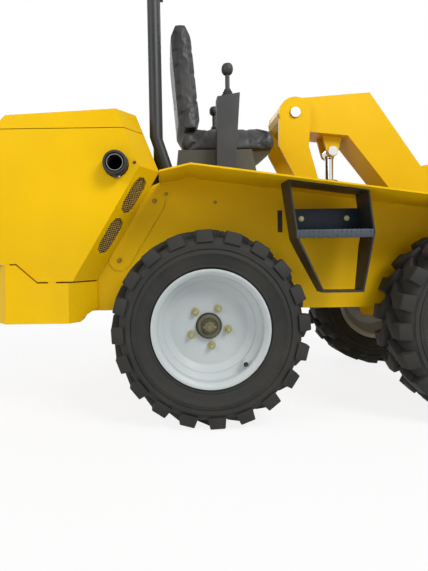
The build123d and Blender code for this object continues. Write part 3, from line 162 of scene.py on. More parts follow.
yellowPaint = finish("yellowPaint", (0.80, 0.48, 0.001), 0.34, dust=(0.36, 0.22, 0.05), dustAmount=0.05,
                     groundDust=0.10, grain=260, coat=0.04, shine=0.10, bump=0.03)
blackPaint = finish("blackPaint", (0.012, 0.014, 0.015), 0.38, dustAmount=0.04, groundDust=0.08, grain=300,
                    shine=0.35)
navyPaint = finish("navyPaint", (0.008, 0.017, 0.028), 0.40, dustAmount=0.02, groundDust=0.03, grain=300,
                   shine=0.3)
greyPaint = finish("greyPaint", (0.046, 0.043, 0.027), 0.45, dustAmount=0.10, grain=300)
barrelGrey = finish("barrelGrey", (0.16, 0.14, 0.09), 0.40, dustAmount=0.08, grain=300)
rimPaint = finish("rimPaint", (0.46, 0.50, 0.505), 0.40, dust=(0.45, 0.43, 0.38), dustAmount=0.08, patch=7,
                  grain=350, coat=0.1)
rubber = finish("rubber", (0.017, 0.017, 0.0155), 0.62, dust=(0.085, 0.080, 0.068), dustAmount=0.22,
                groundDust=0.20, patch=9, grain=220, shine=0.35, bump=0.25)
castMetal = finish("castMetal", (0.10, 0.093, 0.055), 0.48, dustAmount=0.15, patch=20, grain=180, metal=0.55,
                   bump=0.15)
hubSteel = finish("hubSteel", (0.20, 0.185, 0.10), 0.40, dustAmount=0.15, patch=25, grain=300, metal=0.7)
zincSteel = finish("zincSteel", (0.42, 0.40, 0.22), 0.32, dustAmount=0.10, patch=25, grain=300, metal=0.85)
brightSteel = finish("brightSteel", (0.55, 0.54, 0.52), 0.25, dustAmount=0.05, patch=12, grain=500, metal=1.0)
hardChrome = finish("hardChrome", (0.75, 0.75, 0.76), 0.08, dustAmount=0.02, patch=12, grain=500, metal=1.0,
                    bump=0.01)
vinyl = finish("vinyl", (0.018, 0.018, 0.019), 0.42, patch=6, grain=700, bump=0.35, bumpDepth=0.0006)
blackPlastic = finish("blackPlastic", (0.02, 0.02, 0.021), 0.50, patch=8, grain=900, bump=0.2,
                      bumpDepth=0.0004)
lampGlass = finish("lampGlass", (0.78, 0.79, 0.80), 0.08, dustAmount=0.03, patch=12, grain=300, coat=0.6)
redLens = finish("redLens", (0.42, 0.008, 0.008), 0.12, dustAmount=0.03, patch=12, grain=300, coat=0.6)
boltBlack = finish("boltBlack", (0.05, 0.048, 0.042), 0.40, dustAmount=0.10, patch=30, grain=300, metal=0.6)
screenPaint = finish("screenPaint", (0.72, 0.47, 0.12), 0.45, dustAmount=0.10, patch=20, grain=300)
boltYellow = finish("boltYellow", (0.34, 0.20, 0.006), 0.45, dustAmount=0.15, patch=30, grain=300)
stepSteel = finish("stepSteel", (0.030, 0.043, 0.058), 0.42, dustAmount=0.03, groundDust=0.03, patch=16,
                   grain=300)

edgeWear = {"bare": 0.05, "painted": 0.19, "ragged": 0.12, "scale": 14, "steel": (0.36, 0.34, 0.32, 1)}


def buildBucketPaint():  # yellow, worn through to steel along the cutting edge
    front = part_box("bucket")[1][0]
    painted, bare = (front - edgeWear[label] + edgeWear["ragged"] / 2 for label in ("painted", "bare"))
    material = finish("bucketPaint", (0.80, 0.48, 0.002), 0.36, dustAmount=0.10, grain=260, coat=0.1,
                      bump=0.04)
    tree = material.node_tree
    shader = tree.nodes["Principled BSDF"]
    paint = shader.inputs["Base Color"].links[0].from_socket
    coords = tree.nodes.new("ShaderNodeTexCoord").outputs["Object"]
    split = tree.nodes.new("ShaderNodeSeparateXYZ")
    tree.links.new(coords, split.inputs[0])
    scuff = noiseNode(tree, coords, edgeWear["scale"], detail=6)
    ragged = mathNode(tree, "MULTIPLY", scuff.outputs["Fac"], edgeWear["ragged"])
    mask = rangeNode(tree, mathNode(tree, "ADD", split.outputs["X"], ragged), painted, bare)
    steel = tree.nodes.new("ShaderNodeRGB")
    steel.outputs[0].default_value = edgeWear["steel"]
    tree.links.new(mixNode(tree, mask, paint, steel.outputs[0]), shader.inputs["Base Color"])
    tree.links.new(mask, shader.inputs["Metallic"])
    return material


bucketPaint = buildBucketPaint()
nodeFinish = {
    yellowPaint: ["chassis_frame", "access_plates", "rear_counterweight", "engine_cover", "hood_lid",
                  "boom_tower", "boom", "running_board_right", "running_board_left"],
    bucketPaint: ["bucket"],
    blackPaint: ["tow_hitch", "rear_grille", "exhaust_pipe", "roll_bar", "tool_coupler", "step_right",
                 "step_left"],
    greyPaint: ["seat_base"],
    barrelGrey: ["lift_barrel", "tilt_barrel"],
    hardChrome: ["lift_rod", "tilt_rod"],
    castMetal: ["engine_block", "wheel_motors", "hub_front_right", "hub_front_left", "hub_rear_right",
                "hub_rear_left"],
    brightSteel: ["tower_pins", "boom_pins", "tool_pins"],
    blackPlastic: ["control_pods", "work_lamps"],
    redLens: ["rear_lamps"],
    screenPaint: ["vent_meshes"],
    vinyl: ["seat_cushion", "seat_back"],
    rubber: ["tyre_front_right", "tyre_front_left", "tyre_rear_right", "tyre_rear_left"],
    rimPaint: ["rim_front_right", "rim_front_left", "rim_rear_right", "rim_rear_left"],
}
for material, names in nodeFinish.items():
    for name in names:
        nodes[name].data.materials.clear()
        nodes[name].data.materials.append(material)
print("finishes given to the carried-over nodes")


# Small modelling helpers
def startFresh():
    if bpy.context.object and bpy.context.object.mode != "OBJECT":
        bpy.ops.object.mode_set(mode="OBJECT")
    bpy.ops.object.select_all(action="DESELECT")


def pick(obj):
    startFresh()
    bpy.context.view_layer.objects.active = obj
    obj.select_set(True)


def editing(obj):
    pick(obj)
    bpy.ops.object.mode_set(mode="EDIT")
    bpy.ops.mesh.select_mode(type="VERT")


def pickFaces(obj, test):  # by normal and middle
    bpy.ops.mesh.select_all(action="DESELECT")
    mesh = bmesh.from_edit_mesh(obj.data)
    for face in mesh.faces:
        if test(face.normal, face.calc_center_median()):
            face.select_set(True)
    bmesh.update_edit_mesh(obj.data)


def pickVerts(obj, test):
    bpy.ops.mesh.select_all(action="DESELECT")
    mesh = bmesh.from_edit_mesh(obj.data)
    for vert in mesh.verts:
        vert.select_set(test(vert.co))
    mesh.select_flush(True)
    bmesh.update_edit_mesh(obj.data)


def settle(obj, name, material, smooth=35):  # place goes into the mesh, normals outward, finish on
    pick(obj)
    bpy.ops.object.transform_apply(location=True, rotation=True, scale=True)
    editing(obj)
    bpy.ops.mesh.select_all(action="SELECT")
    bpy.ops.mesh.remove_doubles(threshold=0.00002)
    bpy.ops.mesh.normals_make_consistent(inside=False)
    bpy.ops.object.mode_set(mode="OBJECT")
    bpy.ops.object.shade_smooth_by_angle(angle=math.radians(smooth))
    obj.name = name
    obj.data.materials.clear()
    obj.data.materials.append(material)
    return obj


def applyModifier(obj, kind, **values):
    pick(obj)
    modifier = obj.modifiers.new(kind, kind)
    for label, value in values.items():
        setattr(modifier, label, value)
    bpy.ops.object.modifier_apply(modifier=modifier.name)


def joinAll(objs):
    startFresh()
    for obj in objs:
        obj.select_set(True)
    bpy.context.view_layer.objects.active = objs[0]
    bpy.ops.object.join()
    return objs[0]


def copyOf(obj, move, name=None):  # own mesh, moved by a matrix, turned right side out again when mirrored
    twin = obj.copy()
    twin.data = obj.data.copy()
    twin.data.transform(move)
    if move.determinant() < 0:
        twin.data.flip_normals()
    bpy.context.collection.objects.link(twin)
    if name:
        twin.name = name
    return twin


def mount(obj, body, slot, *replaced):
    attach(obj, body)
    if replaced:
        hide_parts(*replaced)
    return obj


mirrorY = Matrix.Scale(-1, 4, (0, 1, 0))
squarely = 0.9  # how closely a face picked by its normal looks the wanted way


def turned(profile, steps, centre=(0, 0, 0), axis=(0, 1, 0), closed=False):  # (radius, along) ring by ring
    startFresh()
    radius, along = profile[0]
    bpy.ops.mesh.primitive_circle_add(vertices=steps, radius=radius, location=(0, 0, 0))
    obj = bpy.context.object
    editing(obj)
    bpy.ops.mesh.select_all(action="SELECT")
    bpy.ops.transform.translate(value=(0, 0, along))
    for (r0, a0), (r1, a1) in zip(profile, profile[1:]):
        bpy.ops.mesh.extrude_region_move(TRANSFORM_OT_translate={"value": (0, 0, a1 - a0)})
        bpy.ops.transform.resize(value=(r1 / r0, r1 / r0, 1), center_override=(0, 0, a1))
    bpy.ops.mesh.select_all(action="DESELECT")
    bpy.ops.mesh.select_non_manifold()
    if closed:
        bpy.ops.mesh.bridge_edge_loops()
    else:
        bpy.ops.mesh.fill_holes(sides=0)
    bpy.ops.object.mode_set(mode="OBJECT")
    obj.rotation_euler = Vector((0, 0, 1)).rotation_difference(Vector(axis)).to_euler()
    obj.location = centre
    pick(obj)
    bpy.ops.object.transform_apply(location=True, rotation=True, scale=True)
    return obj


def blockOf(low, high, bevel=0.002, segments=2):
    startFresh()
    middle = [(a + b) / 2 for a, b in zip(low, high)]
    bpy.ops.mesh.primitive_cube_add(size=1, location=middle, scale=[b - a for a, b in zip(low, high)])
    obj = bpy.context.object
    bpy.ops.object.transform_apply(location=True, rotation=True, scale=True)
    if bevel:
        editing(obj)
        bpy.ops.mesh.select_all(action="SELECT")
        bpy.ops.mesh.bevel(offset=bevel, segments=segments, affect="EDGES")
        bpy.ops.object.mode_set(mode="OBJECT")
    return obj


headSpec = {"lip": 0.002, "edge": 0.0006, "seat": 1.30, "washer": 1.38, "crown": 0.86, "steps": 24}


def hexBolt(centre, axis, radius, height):  # washer, hexagon head with a chamfered crown
    spec = headSpec
    lip, crown, wide = spec["lip"], spec["crown"], radius * spec["washer"]
    washer = [(radius * spec["seat"], 0), (wide, spec["edge"]), (wide, lip)]
    head = [(radius, lip), (radius, lip + height * crown), (radius * crown, lip + height)]
    return [turned(washer, spec["steps"], centre, axis), turned(head, 6, centre, axis)]


def at(ahead, across, height):  # millimetres ahead of the rear axle, across and up
    return Vector((rearAxle.x + ahead / 1000, across / 1000, height / 1000))


def wheelCentre(end, hand):
    low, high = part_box(f"tyre_{end}_{hand}")
    return Vector([(a + b) / 2 for a, b in zip(low, high)])


rearAxle = wheelCentre("rear", "right")
print("helpers ready")


# Wheels: modelled round the origin with the outboard face at -Y, then copied to the four corners
tyreSpec = {
    "steps": 120,
    "lugCount": 20,
    "lugHalfWidth": 0.0260,
    "lugAcross": (-0.097, -0.052),
    "lugHeight": (0.312, 0.3444),
    "lugMiddle": 0.33,
    "lugBase": 1.16,
    "lugSlant": 7.5,
    "lugStart": -12.3,
    "lugRound": 0.003,
    "barLength": 0.042,
    "barTaper": 0.84,
    "shoulder": -0.09,
    "shoulderTop": (0, 0.001, -0.0036),
    "shoulderFoot": (0, -0.0095, -0.014),
    "sidewall": [(0.1903, 0.0700), (0.1903, 0.0818), (0.2060, 0.0878), (0.2110, 0.0905), (0.2135, 0.0945),
                 (0.2180, 0.0950), (0.2205, 0.0930), (0.2400, 0.0995), (0.2560, 0.1040), (0.2580, 0.1062),
                 (0.2620, 0.1062), (0.2640, 0.1044), (0.2715, 0.1040), (0.2730, 0.1015), (0.2745, 0.1015),
                 (0.2760, 0.1050), (0.2890, 0.1050), (0.2905, 0.1020), (0.2925, 0.1015), (0.3010, 0.0985),
                 (0.3110, 0.0885), (0.3165, 0.0700), (0.3190, 0.0350)],
}


def lugBlock():  # shoulder block with a bar that slants in to the middle of the tread
    spec = tyreSpec
    half, shoulder, middleHeight = spec["lugHalfWidth"], spec["shoulder"], spec["lugMiddle"]
    outer, inner = spec["lugAcross"]
    foot, top = spec["lugHeight"]
    obj = blockOf((-half, outer, foot), (half, inner, top), bevel=0)
    editing(obj)
    pickVerts(obj, lambda place: place.z < middleHeight)
    bpy.ops.transform.resize(value=(spec["lugBase"], 1, 1), center_override=(0, 0, 0))
    pickFaces(obj, lambda normal, middle: normal.y > squarely)
    bpy.ops.mesh.extrude_region_move(TRANSFORM_OT_translate={"value": (0, spec["barLength"], 0)})
    bpy.ops.transform.resize(value=(spec["barTaper"], 1, 1), center_override=(0, 0, 0))
    slant = math.radians(-spec["lugSlant"])
    bpy.ops.transform.rotate(value=slant, orient_axis="Y", center_override=(0, 0, 0))
    pickVerts(obj, lambda place: place.y < shoulder and place.z > middleHeight)
    bpy.ops.transform.translate(value=spec["shoulderTop"])
    pickVerts(obj, lambda place: place.y < shoulder and place.z < middleHeight)
    bpy.ops.transform.translate(value=spec["shoulderFoot"])
    bpy.ops.mesh.select_all(action="SELECT")
    bpy.ops.mesh.bevel(offset=spec["lugRound"], segments=2, affect="EDGES")
    bpy.ops.object.mode_set(mode="OBJECT")
    return settle(obj, "lug", rubber, 40)


def modelTyre():
    spec = tyreSpec
    side = spec["sidewall"]
    carcass = turned(side + [(radius, -across) for radius, across in side[::-1]], spec["steps"], closed=True)
    settle(carcass, "carcass", rubber, 40)
    lug = lugBlock()
    pitch = 360 / spec["lugCount"]
    row = []
    for step in range(spec["lugCount"]):
        for flip, stagger in ((Matrix.Identity(4), pitch / 2), (mirrorY, 0)):
            turn = math.radians(spec["lugStart"] + step * pitch + stagger)
            row.append(copyOf(lug, Matrix.Rotation(turn, 4, "Y") @ flip))
    bpy.data.objects.remove(lug)
    return joinAll([carcass, *row])


rimSpec = {
    "steps": 96,
    "rolled": 0.0028,
    "rollAngle": 24,
    "profile": [(0.2080, -0.0950), (0.1985, -0.0950), (0.1840, -0.0840), (0.1840, -0.0560), (0.1640, -0.0400),
                (0.1640, -0.0300), (0.1400, -0.0120), (0.0460, -0.0120), (0.0460, -0.0040), (0.1400, -0.0040),
                (0.1640, 0.0400), (0.1840, 0.0840), (0.2080, 0.0950), (0.1900, 0.0826), (0.1900, -0.0826)],
    "valveAngle": -46,
    "valveRadius": 0.174,
    "guardFoot": -0.046,
    "guard": [(0.0085, 0), (0.0115, 0), (0.0115, 0.030), (0.0105, 0.032), (0.0090, 0.032), (0.0085, 0.030)],
    "stemFoot": -0.047,
    "stem": [(0.004, 0), (0.004, 0.022), (0.0055, 0.022), (0.0055, 0.036), (0.0042, 0.038)],
}
outboard = (0, -1, 0)


def valvePlace(across):
    turn = math.radians(rimSpec["valveAngle"])
    return (rimSpec["valveRadius"] * math.cos(turn), across, rimSpec["valveRadius"] * math.sin(turn))


def modelRim():
    spec = rimSpec
    rim = turned(spec["profile"], spec["steps"], closed=True)
    applyModifier(rim, "BEVEL", width=spec["rolled"], segments=3, limit_method="ANGLE",
                  angle_limit=math.radians(spec["rollAngle"]))
    guard = turned(spec["guard"], 24, valvePlace(spec["guardFoot"]), outboard, closed=True)
    settle(rim, "rim", rimPaint, 40)
    return joinAll([rim, settle(guard, "guard", rimPaint, 40)])


def modelValve():
    stem = turned(rimSpec["stem"], 16, valvePlace(rimSpec["stemFoot"]), outboard)
    return settle(stem, "valve", blackPlastic)


hubSpec = {
    "profile": [(0.004, -0.0265), (0.028, -0.0265), (0.0300, -0.0300), (0.0390, -0.0300), (0.0418, -0.0272),
                (0.0418, -0.0043), (0.0856, -0.0040), (0.0856, 0.0098), (0.0480, 0.0100), (0.0480, 0.0300),
                (0.0158, 0.0300), (0.0158, 0.0745)],
    "steps": 64,
    "edge": 0.001,
    "edgeAngle": 30,
    "nutCircle": 0.070,
    "nutCount": 5,
    "firstNut": 61.5,
    "nutFoot": -0.012,
    "nutRadius": 0.0112,
    "nutHeight": 0.0120,
    "nutStud": [(0.0062, 0.010), (0.0062, 0.0205), (0.0050, 0.0220)],
}
castleSpec = {
    "hexagon": [(0.0195, 0.0265), (0.0195, 0.0385), (0.0180, 0.0400)],
    "crown": [(0.0155, 0.0390), (0.0155, 0.0430)],
    "wall": 0.0065,
    "merlonPitch": 60,
    "merlon": (15, 45),
    "merlonInside": 0.008,
    "merlonRise": 0.006,
    "stud": [(0.0088, 0.0265), (0.0088, 0.0500), (0.0075, 0.0515)],
    "pin": [(0.0015, -0.024), (0.0019, -0.022), (0.0019, 0.022), (0.0015, 0.024)],
    "pinCentre": (0, -0.0465, 0),
    "pinAxes": ((1, 0, 0.1), (1, 0.1, -0.1)),
}


def onMerlon(normal, middle):
    first, last = castleSpec["merlon"]
    turn = math.degrees(math.atan2(middle.z, middle.x)) % castleSpec["merlonPitch"]
    outside = math.hypot(middle.x, middle.z) > castleSpec["merlonInside"]
    return normal.y < -squarely and first < turn < last and outside


def castleNut():  # hexagon with a crown of six merlons, and the split pin through it
    spec = castleSpec
    hexagon = turned(spec["hexagon"], 6, axis=outboard)
    crown = turned(spec["crown"], 24, axis=outboard)
    editing(crown)
    pickFaces(crown, lambda normal, middle: normal.y < -squarely)
    bpy.ops.mesh.inset(thickness=spec["wall"])
    pickFaces(crown, onMerlon)
    bpy.ops.mesh.extrude_region_move(TRANSFORM_OT_translate={"value": (0, -spec["merlonRise"], 0)})
    bpy.ops.object.mode_set(mode="OBJECT")
    stud = turned(spec["stud"], 24, axis=outboard)
    legs = [turned(spec["pin"], 10, spec["pinCentre"], axis) for axis in spec["pinAxes"]]
    return [settle(piece, "nut", hubSteel, 30) for piece in (hexagon, crown, stud, *legs)]


def modelHub():
    spec = hubSpec
    hub = turned(spec["profile"], spec["steps"])
    applyModifier(hub, "BEVEL", width=spec["edge"], segments=2, limit_method="ANGLE",
                  angle_limit=math.radians(spec["edgeAngle"]))
    return settle(hub, "hub", castMetal, 40)


def modelNuts():
    spec = hubSpec
    pieces = castleNut()
    for step in range(spec["nutCount"]):
        turn = math.radians(spec["firstNut"] + 360 / spec["nutCount"] * step)
        centre = (spec["nutCircle"] * math.cos(turn), spec["nutFoot"], spec["nutCircle"] * math.sin(turn))
        stud = turned(spec["nutStud"], 18, centre, outboard)
        nut = hexBolt(centre, outboard, spec["nutRadius"], spec["nutHeight"])
        pieces += [settle(piece, "nut", zincSteel, 30) for piece in (*nut, stud)]
    return joinAll(pieces)


wheelParts = [  # model, name, record slot, node that it stands for
    (modelTyre(), "tyre", "tyre", "tyre"),
    (modelRim(), "rim", "rim_silver", "rim"),
    (modelHub(), "hub", "cast_iron", "hub"),
    (modelNuts(), "wheelNuts", "steel", None),
    (modelValve(), "valve", "black_plastic", None),
]
for end in ("front", "rear"):
    for hand in ("right", "left"):
        corner = Matrix.Translation(wheelCentre(end, hand))
        move = corner @ mirrorY if hand == "left" else corner
        for model, name, slot, node in wheelParts:
            piece = copyOf(model, move, f"{name}{end.title()}{hand.title()}")
            mount(piece, f"wheel_{end}_{hand}", slot, *([f"{node}_{end}_{hand}"] if node else []))
for model, *labels in wheelParts:
    bpy.data.objects.remove(model)
print("wheels done")


# Lift and tilt cylinders: smooth barrels, glands and rods in place of the many-sided solids
cylinderSpec = {
    "lift": {"foot": (-0.015, 0, 0.480), "eye": (-0.011, 0, 1.058), "barrel": 0.032, "rod": 0.018,
             "length": 0.420, "rodStart": 0.072},
    "tilt": {"foot": (0.466, 0, 0.976), "eye": (0.9152, 0, 0.3469), "barrel": 0.034, "rod": 0.016,
             "length": 0.470, "rodStart": 0.120},
}
cylinderForm = {
    "start": 0.032,
    "neck": [(0.0218, 0.013), (0.0218, 0.0300)],
    "base": [(-0.003, 0.0320), (0, 0.0345)],  # beyond the barrel, along it
    "gland": [(0, -0.033), (0.0005, -0.031), (0.0048, -0.030), (0.0048, -0.019),  # from the mouth
              (0.0036, -0.018), (0.0036, -0.015), (0.0048, -0.014), (0.0048, -0.003), (0.0030, 0)],
    "seal": [(0.0045, 0), (0.0004, -0.002)],  # beyond the rod, from the mouth
    "boreEnd": (0.0004, 0.064),
    "port": [(0.010, -0.004), (0.010, 0.012), (0.0085, 0.013), (0.0085, 0.018)],  # radius, beyond the barrel
    "portAlong": 0.060,
    "rodFoot": [(-0.0010, 0), (0, 0.001)],  # beyond the rod, along it
    "rodHead": [(0, -0.030), (0.003, -0.026), (0.003, -0.012)],  # beyond the rod, from the eye
    "eyeHalf": 0.026,
    "eyeEdge": 0.0012,
    "barrelEye": (0.026, 0.0142),
    "rodEye": (0.024, 0.0080),
}


def crossEye(centre, radius, bore):
    half, edge = cylinderForm["eyeHalf"], cylinderForm["eyeEdge"]
    ring = [(bore, -half), (radius - edge, -half), (radius, edge - half), (radius, half - edge),
            (radius - edge, half), (bore, half)]
    return turned(ring, 40, centre, (0, 1, 0), closed=True)


def shifted(profile, radius, along):
    return [(radius + wider, along + further) for wider, further in profile]


for name, spec in cylinderSpec.items():
    form = cylinderForm
    foot, eye = Vector(spec["foot"]), Vector(spec["eye"])
    axis = (eye - foot).normalized()
    reach, wide, slim = (eye - foot).length, spec["barrel"], spec["rod"]
    mouth = form["start"] + spec["length"]
    inside = shifted(form["seal"], slim, mouth) + shifted([form["boreEnd"]], slim, 0)
    outside = form["neck"] + shifted(form["base"], wide, 0) + shifted(form["gland"], wide, mouth)
    tube = turned(outside + inside, 48, foot, axis)
    nozzle = shifted(form["port"], 0, wide)
    port = turned(nozzle, 20, foot + axis * form["portAlong"], (axis.z, 0, -axis.x))
    barrel = (tube, crossEye(foot, *form["barrelEye"]), port)
    pieces = [settle(piece, f"{name}Barrel", barrelGrey) for piece in barrel]
    mount(joinAll(pieces), f"{name}_cylinder", "grey_paint", f"{name}_barrel")
    bar = turned(shifted(form["rodFoot"], slim, spec["rodStart"]) + shifted(form["rodHead"], slim, reach), 40,
                 foot, axis)
    pieces = [settle(piece, f"{name}Rod", hardChrome) for piece in (bar, crossEye(eye, *form["rodEye"]))]
    mount(joinAll(pieces), f"{name}_piston", "chrome", f"{name}_rod")
print("cylinders done")


# Roll bar hoop: a circle pulled up the right post, spun round both corners and down the left post
hoopSpec = {"radius": 0.025, "half": 0.258, "corner": 0.090, "top": 1.965, "knee": (-185, 1075),
            "foot": (-128, 904), "post": -190, "plate": Vector((0.040, 0.033, 0.006)), "plateEdge": 0.0025,
            "plateHeight": 904.3, "boltRadius": 0.0075, "boltHead": 0.006, "boltAhead": 0.029,
            "boltAcross": 0.0225, "slope": math.atan2(24, 108)}


def modelHoop():
    spec = hoopSpec
    foot, knee = (at(place[0], -spec["half"] * 1000, place[1]) for place in (spec["foot"], spec["knee"]))
    post = at(spec["post"], -spec["half"] * 1000, 0)
    post.z = spec["top"] - spec["corner"]
    startFresh()
    bpy.ops.mesh.primitive_circle_add(vertices=28, radius=spec["radius"], location=foot)
    obj = bpy.context.object
    bpy.ops.object.transform_apply(location=True, rotation=True, scale=True)
    editing(obj)
    bpy.ops.mesh.select_all(action="SELECT")
    for start, end in ((foot, knee), (knee, post)):
        bpy.ops.mesh.extrude_region_move(TRANSFORM_OT_translate={"value": end - start})
    for side in (-1, 1):
        middle = (post.x, side * (spec["half"] - spec["corner"]), post.z)
        bpy.ops.mesh.spin(steps=10, angle=math.radians(90), center=middle, axis=(1, 0, 0))
        if side < 0:
            across = 2 * (spec["half"] - spec["corner"])
            bpy.ops.mesh.extrude_region_move(TRANSFORM_OT_translate={"value": (0, across, 0)})
    for start, end in ((post, knee), (knee, foot)):
        bpy.ops.mesh.extrude_region_move(TRANSFORM_OT_translate={"value": end - start})
    bpy.ops.mesh.select_all(action="DESELECT")
    bpy.ops.mesh.select_non_manifold()
    bpy.ops.mesh.fill_holes(sides=0)
    bpy.ops.object.mode_set(mode="OBJECT")
    return settle(obj, "rollBar", blackPaint, 40)


def hoopFeet():  # foot plates on the sloping deck, each with four bolts
    spec = hoopSpec
    pieces = []
    for side in (-1, 1):
        painted = [(blockOf(-spec["plate"], spec["plate"], spec["plateEdge"]), blackPaint)]
        for x in (-spec["boltAhead"], spec["boltAhead"]):
            for y in (-spec["boltAcross"], spec["boltAcross"]):
                head = hexBolt((x, y, spec["plate"].z), (0, 0, 1), spec["boltRadius"], spec["boltHead"])
                painted += [(part, boltBlack) for part in head]
        middle = at(spec["foot"][0], side * spec["half"] * 1000, spec["plateHeight"])
        move = Matrix.Translation(middle) @ Matrix.Rotation(-spec["slope"], 4, "Y")
        for piece, paint in painted:
            settle(piece, "foot", paint)
            piece.data.transform(move)
            pieces.append(piece)
    return pieces


mount(joinAll([modelHoop(), *hoopFeet()]), "chassis", "black_paint", "roll_bar")
print("roll bar done")


# Work lamps under the hoop
lampSpec = {"ahead": -180, "across": 150, "height": 1894.7,
            "body": [(0.010, -0.030), (0.026, -0.0285), (0.036, -0.018), (0.0395, -0.004), (0.0395, 0.016),
                     (0.0415, 0.018), (0.0415, 0.027), (0.0395, 0.030), (0.0350, 0.030), (0.0340, 0.0235)],
            "lens": [(0.0345, 0.0225), (0.0345, 0.0245), (0.0280, 0.0275), (0.0160, 0.0292),
                     (0.0040, 0.0296)],
            "stemAhead": -190, "stemTop": 1940, "stemHalf": 0.012, "stemFoot": 0.034, "stemLap": 0.001}
for side, hand in ((-1, "Right"), (1, "Left")):
    centre = at(lampSpec["ahead"], side * lampSpec["across"], lampSpec["height"])
    body = turned(lampSpec["body"], 40, centre, (1, 0, 0))
    top = at(lampSpec["stemAhead"], side * lampSpec["across"], lampSpec["stemTop"])
    half = lampSpec["stemHalf"]
    stem = blockOf((top.x - half, top.y - half, centre.z + lampSpec["stemFoot"]),
                   (top.x + half, top.y + half, top.z + lampSpec["stemLap"]))
    shell = joinAll([settle(piece, f"workLamp{hand}", blackPlastic) for piece in (body, stem)])
    mount(shell, "chassis", "black_plastic", *(["work_lamps"] if side < 0 else []))
    lens = settle(turned(lampSpec["lens"], 40, centre, (1, 0, 0)), f"workLens{hand}", lampGlass, 50)
    mount(lens, "chassis", "lamp_lens")
print("lamps done")


# Tail pipe with a rolled lip and a band clamp
pipeSpec = {
    "ahead": -331, "height": 939, "outer": 0.0440, "bore": 0.0340, "inner": 0.150, "end": 0.450,
    "shell": [(-0.002, -0.010), (0, -0.008), (0, -0.002), (-0.002, 0)],  # beyond the outside, from the end
    "mouth": [(0.002, 0), (0, -0.003)],  # beyond the bore, from the end
    "boreStart": 0.020,
    "band": [(-0.002, 0.416), (0.0012, 0.416), (0.0020, 0.4168), (0.0020, 0.4292), (0.0012, 0.430),
             (-0.002, 0.430)],
    "liner": [(0.0285, 0.380), (0.0305, 0.380), (0.0305, 0.4440), (0.0298, 0.4455), (0.0285, 0.4455)],
    "lugWay": (0.05, 0, -0.998), "lugRise": 0.004, "lugAcross": -0.423,
    "earsLow": (0.009, 0.006, 0.006), "earsHigh": (0.009, 0.006, 0.007), "earsEdge": 0.0015,
    "screwAt": (0.009, 0, 0.001), "screwRadius": 0.0055, "screwHead": 0.005,
    "standLow": (-361, -170, 800), "standHigh": (-301, -150, 939), "standEdge": 0.003,
}


def modelPipe():
    spec = pipeSpec
    centre = at(spec["ahead"], 0, spec["height"])
    wide, bore, end = spec["outer"], spec["bore"], spec["end"]
    shell = [(wide + spec["shell"][0][0], spec["inner"])] + shifted(spec["shell"], wide, end)
    inside = shifted(spec["mouth"], bore, end) + [(bore, spec["inner"] + spec["boreStart"])]
    pipe = turned(shell + inside, 56, centre, outboard)
    band = turned(shifted(spec["band"], wide, 0), 56, centre, outboard, closed=True)
    lug = centre + Vector(spec["lugWay"]) * (wide + spec["lugRise"]) + Vector((0, spec["lugAcross"], 0))
    ears = blockOf(lug - Vector(spec["earsLow"]), lug + Vector(spec["earsHigh"]), spec["earsEdge"])
    screw = hexBolt(lug + Vector(spec["screwAt"]), (1, 0, 0), spec["screwRadius"], spec["screwHead"])
    stand = blockOf(at(*spec["standLow"]), at(*spec["standHigh"]), spec["standEdge"])
    liner = turned(spec["liner"], 56, centre, outboard, closed=True)
    pieces = [settle(piece, "tailPipe", blackPaint) for piece in (pipe, stand)]
    pieces += [settle(piece, "clamp", boltBlack) for piece in (band, ears)]
    return joinAll(pieces + [settle(piece, "liner", brightSteel) for piece in (liner, *screw)])


mount(modelPipe(), "chassis", "black_paint", "exhaust_pipe")
print("tail pipe done")


# Vent screens of expanded metal behind the slots in the corner panels
ventSpec = {"centres": [(-0.8844, 0.8294), (-0.9754, 0.6764)], "across": 0.35, "along": (0.5115, 0, 0.8593),
            "out": (0.7238, -0.5391, -0.4308), "depth": 0.0062, "half": 0.043, "round": 0.036, "lap": 0.006,
            "cells": 32, "cell": 0.0120, "narrow": 0.60, "strand": 0.0020}


def pastScreen(normal, middle):
    reach = math.hypot(max(abs(middle.x) - ventSpec["half"], 0), middle.y)
    return reach > ventSpec["round"] + ventSpec["lap"]


def ventScreen():
    spec = ventSpec
    startFresh()
    bpy.ops.mesh.primitive_grid_add(x_subdivisions=spec["cells"], y_subdivisions=spec["cells"],
                                    size=spec["cells"] * spec["cell"], location=(0, 0, 0),
                                    rotation=(0, 0, math.radians(45)))
    obj = bpy.context.object
    bpy.ops.object.transform_apply(location=True, rotation=True, scale=True)
    editing(obj)
    bpy.ops.mesh.select_all(action="SELECT")
    bpy.ops.transform.resize(value=(spec["narrow"], 1, 1), center_override=(0, 0, 0))
    pickFaces(obj, pastScreen)
    bpy.ops.mesh.delete(type="FACE")
    bpy.ops.object.mode_set(mode="OBJECT")
    applyModifier(obj, "WIREFRAME", thickness=spec["strand"], use_even_offset=False)
    return settle(obj, "ventScreen", screenPaint, 20)


screen = ventScreen()
along, out = Vector(ventSpec["along"]), Vector(ventSpec["out"])
turn = Matrix((along, out.cross(along), out)).transposed().to_4x4()
screens = []
for x, z in ventSpec["centres"]:
    lay = Matrix.Translation(Vector((x, -ventSpec["across"], z)) - out * ventSpec["depth"]) @ turn
    screens += [copyOf(screen, lay), copyOf(screen, mirrorY @ lay)]
bpy.data.objects.remove(screen)
ventScreens = joinAll(screens)
ventScreens.name = "ventScreens"
mount(ventScreens, "chassis", "steel", "vent_meshes")
print("vent screens done")


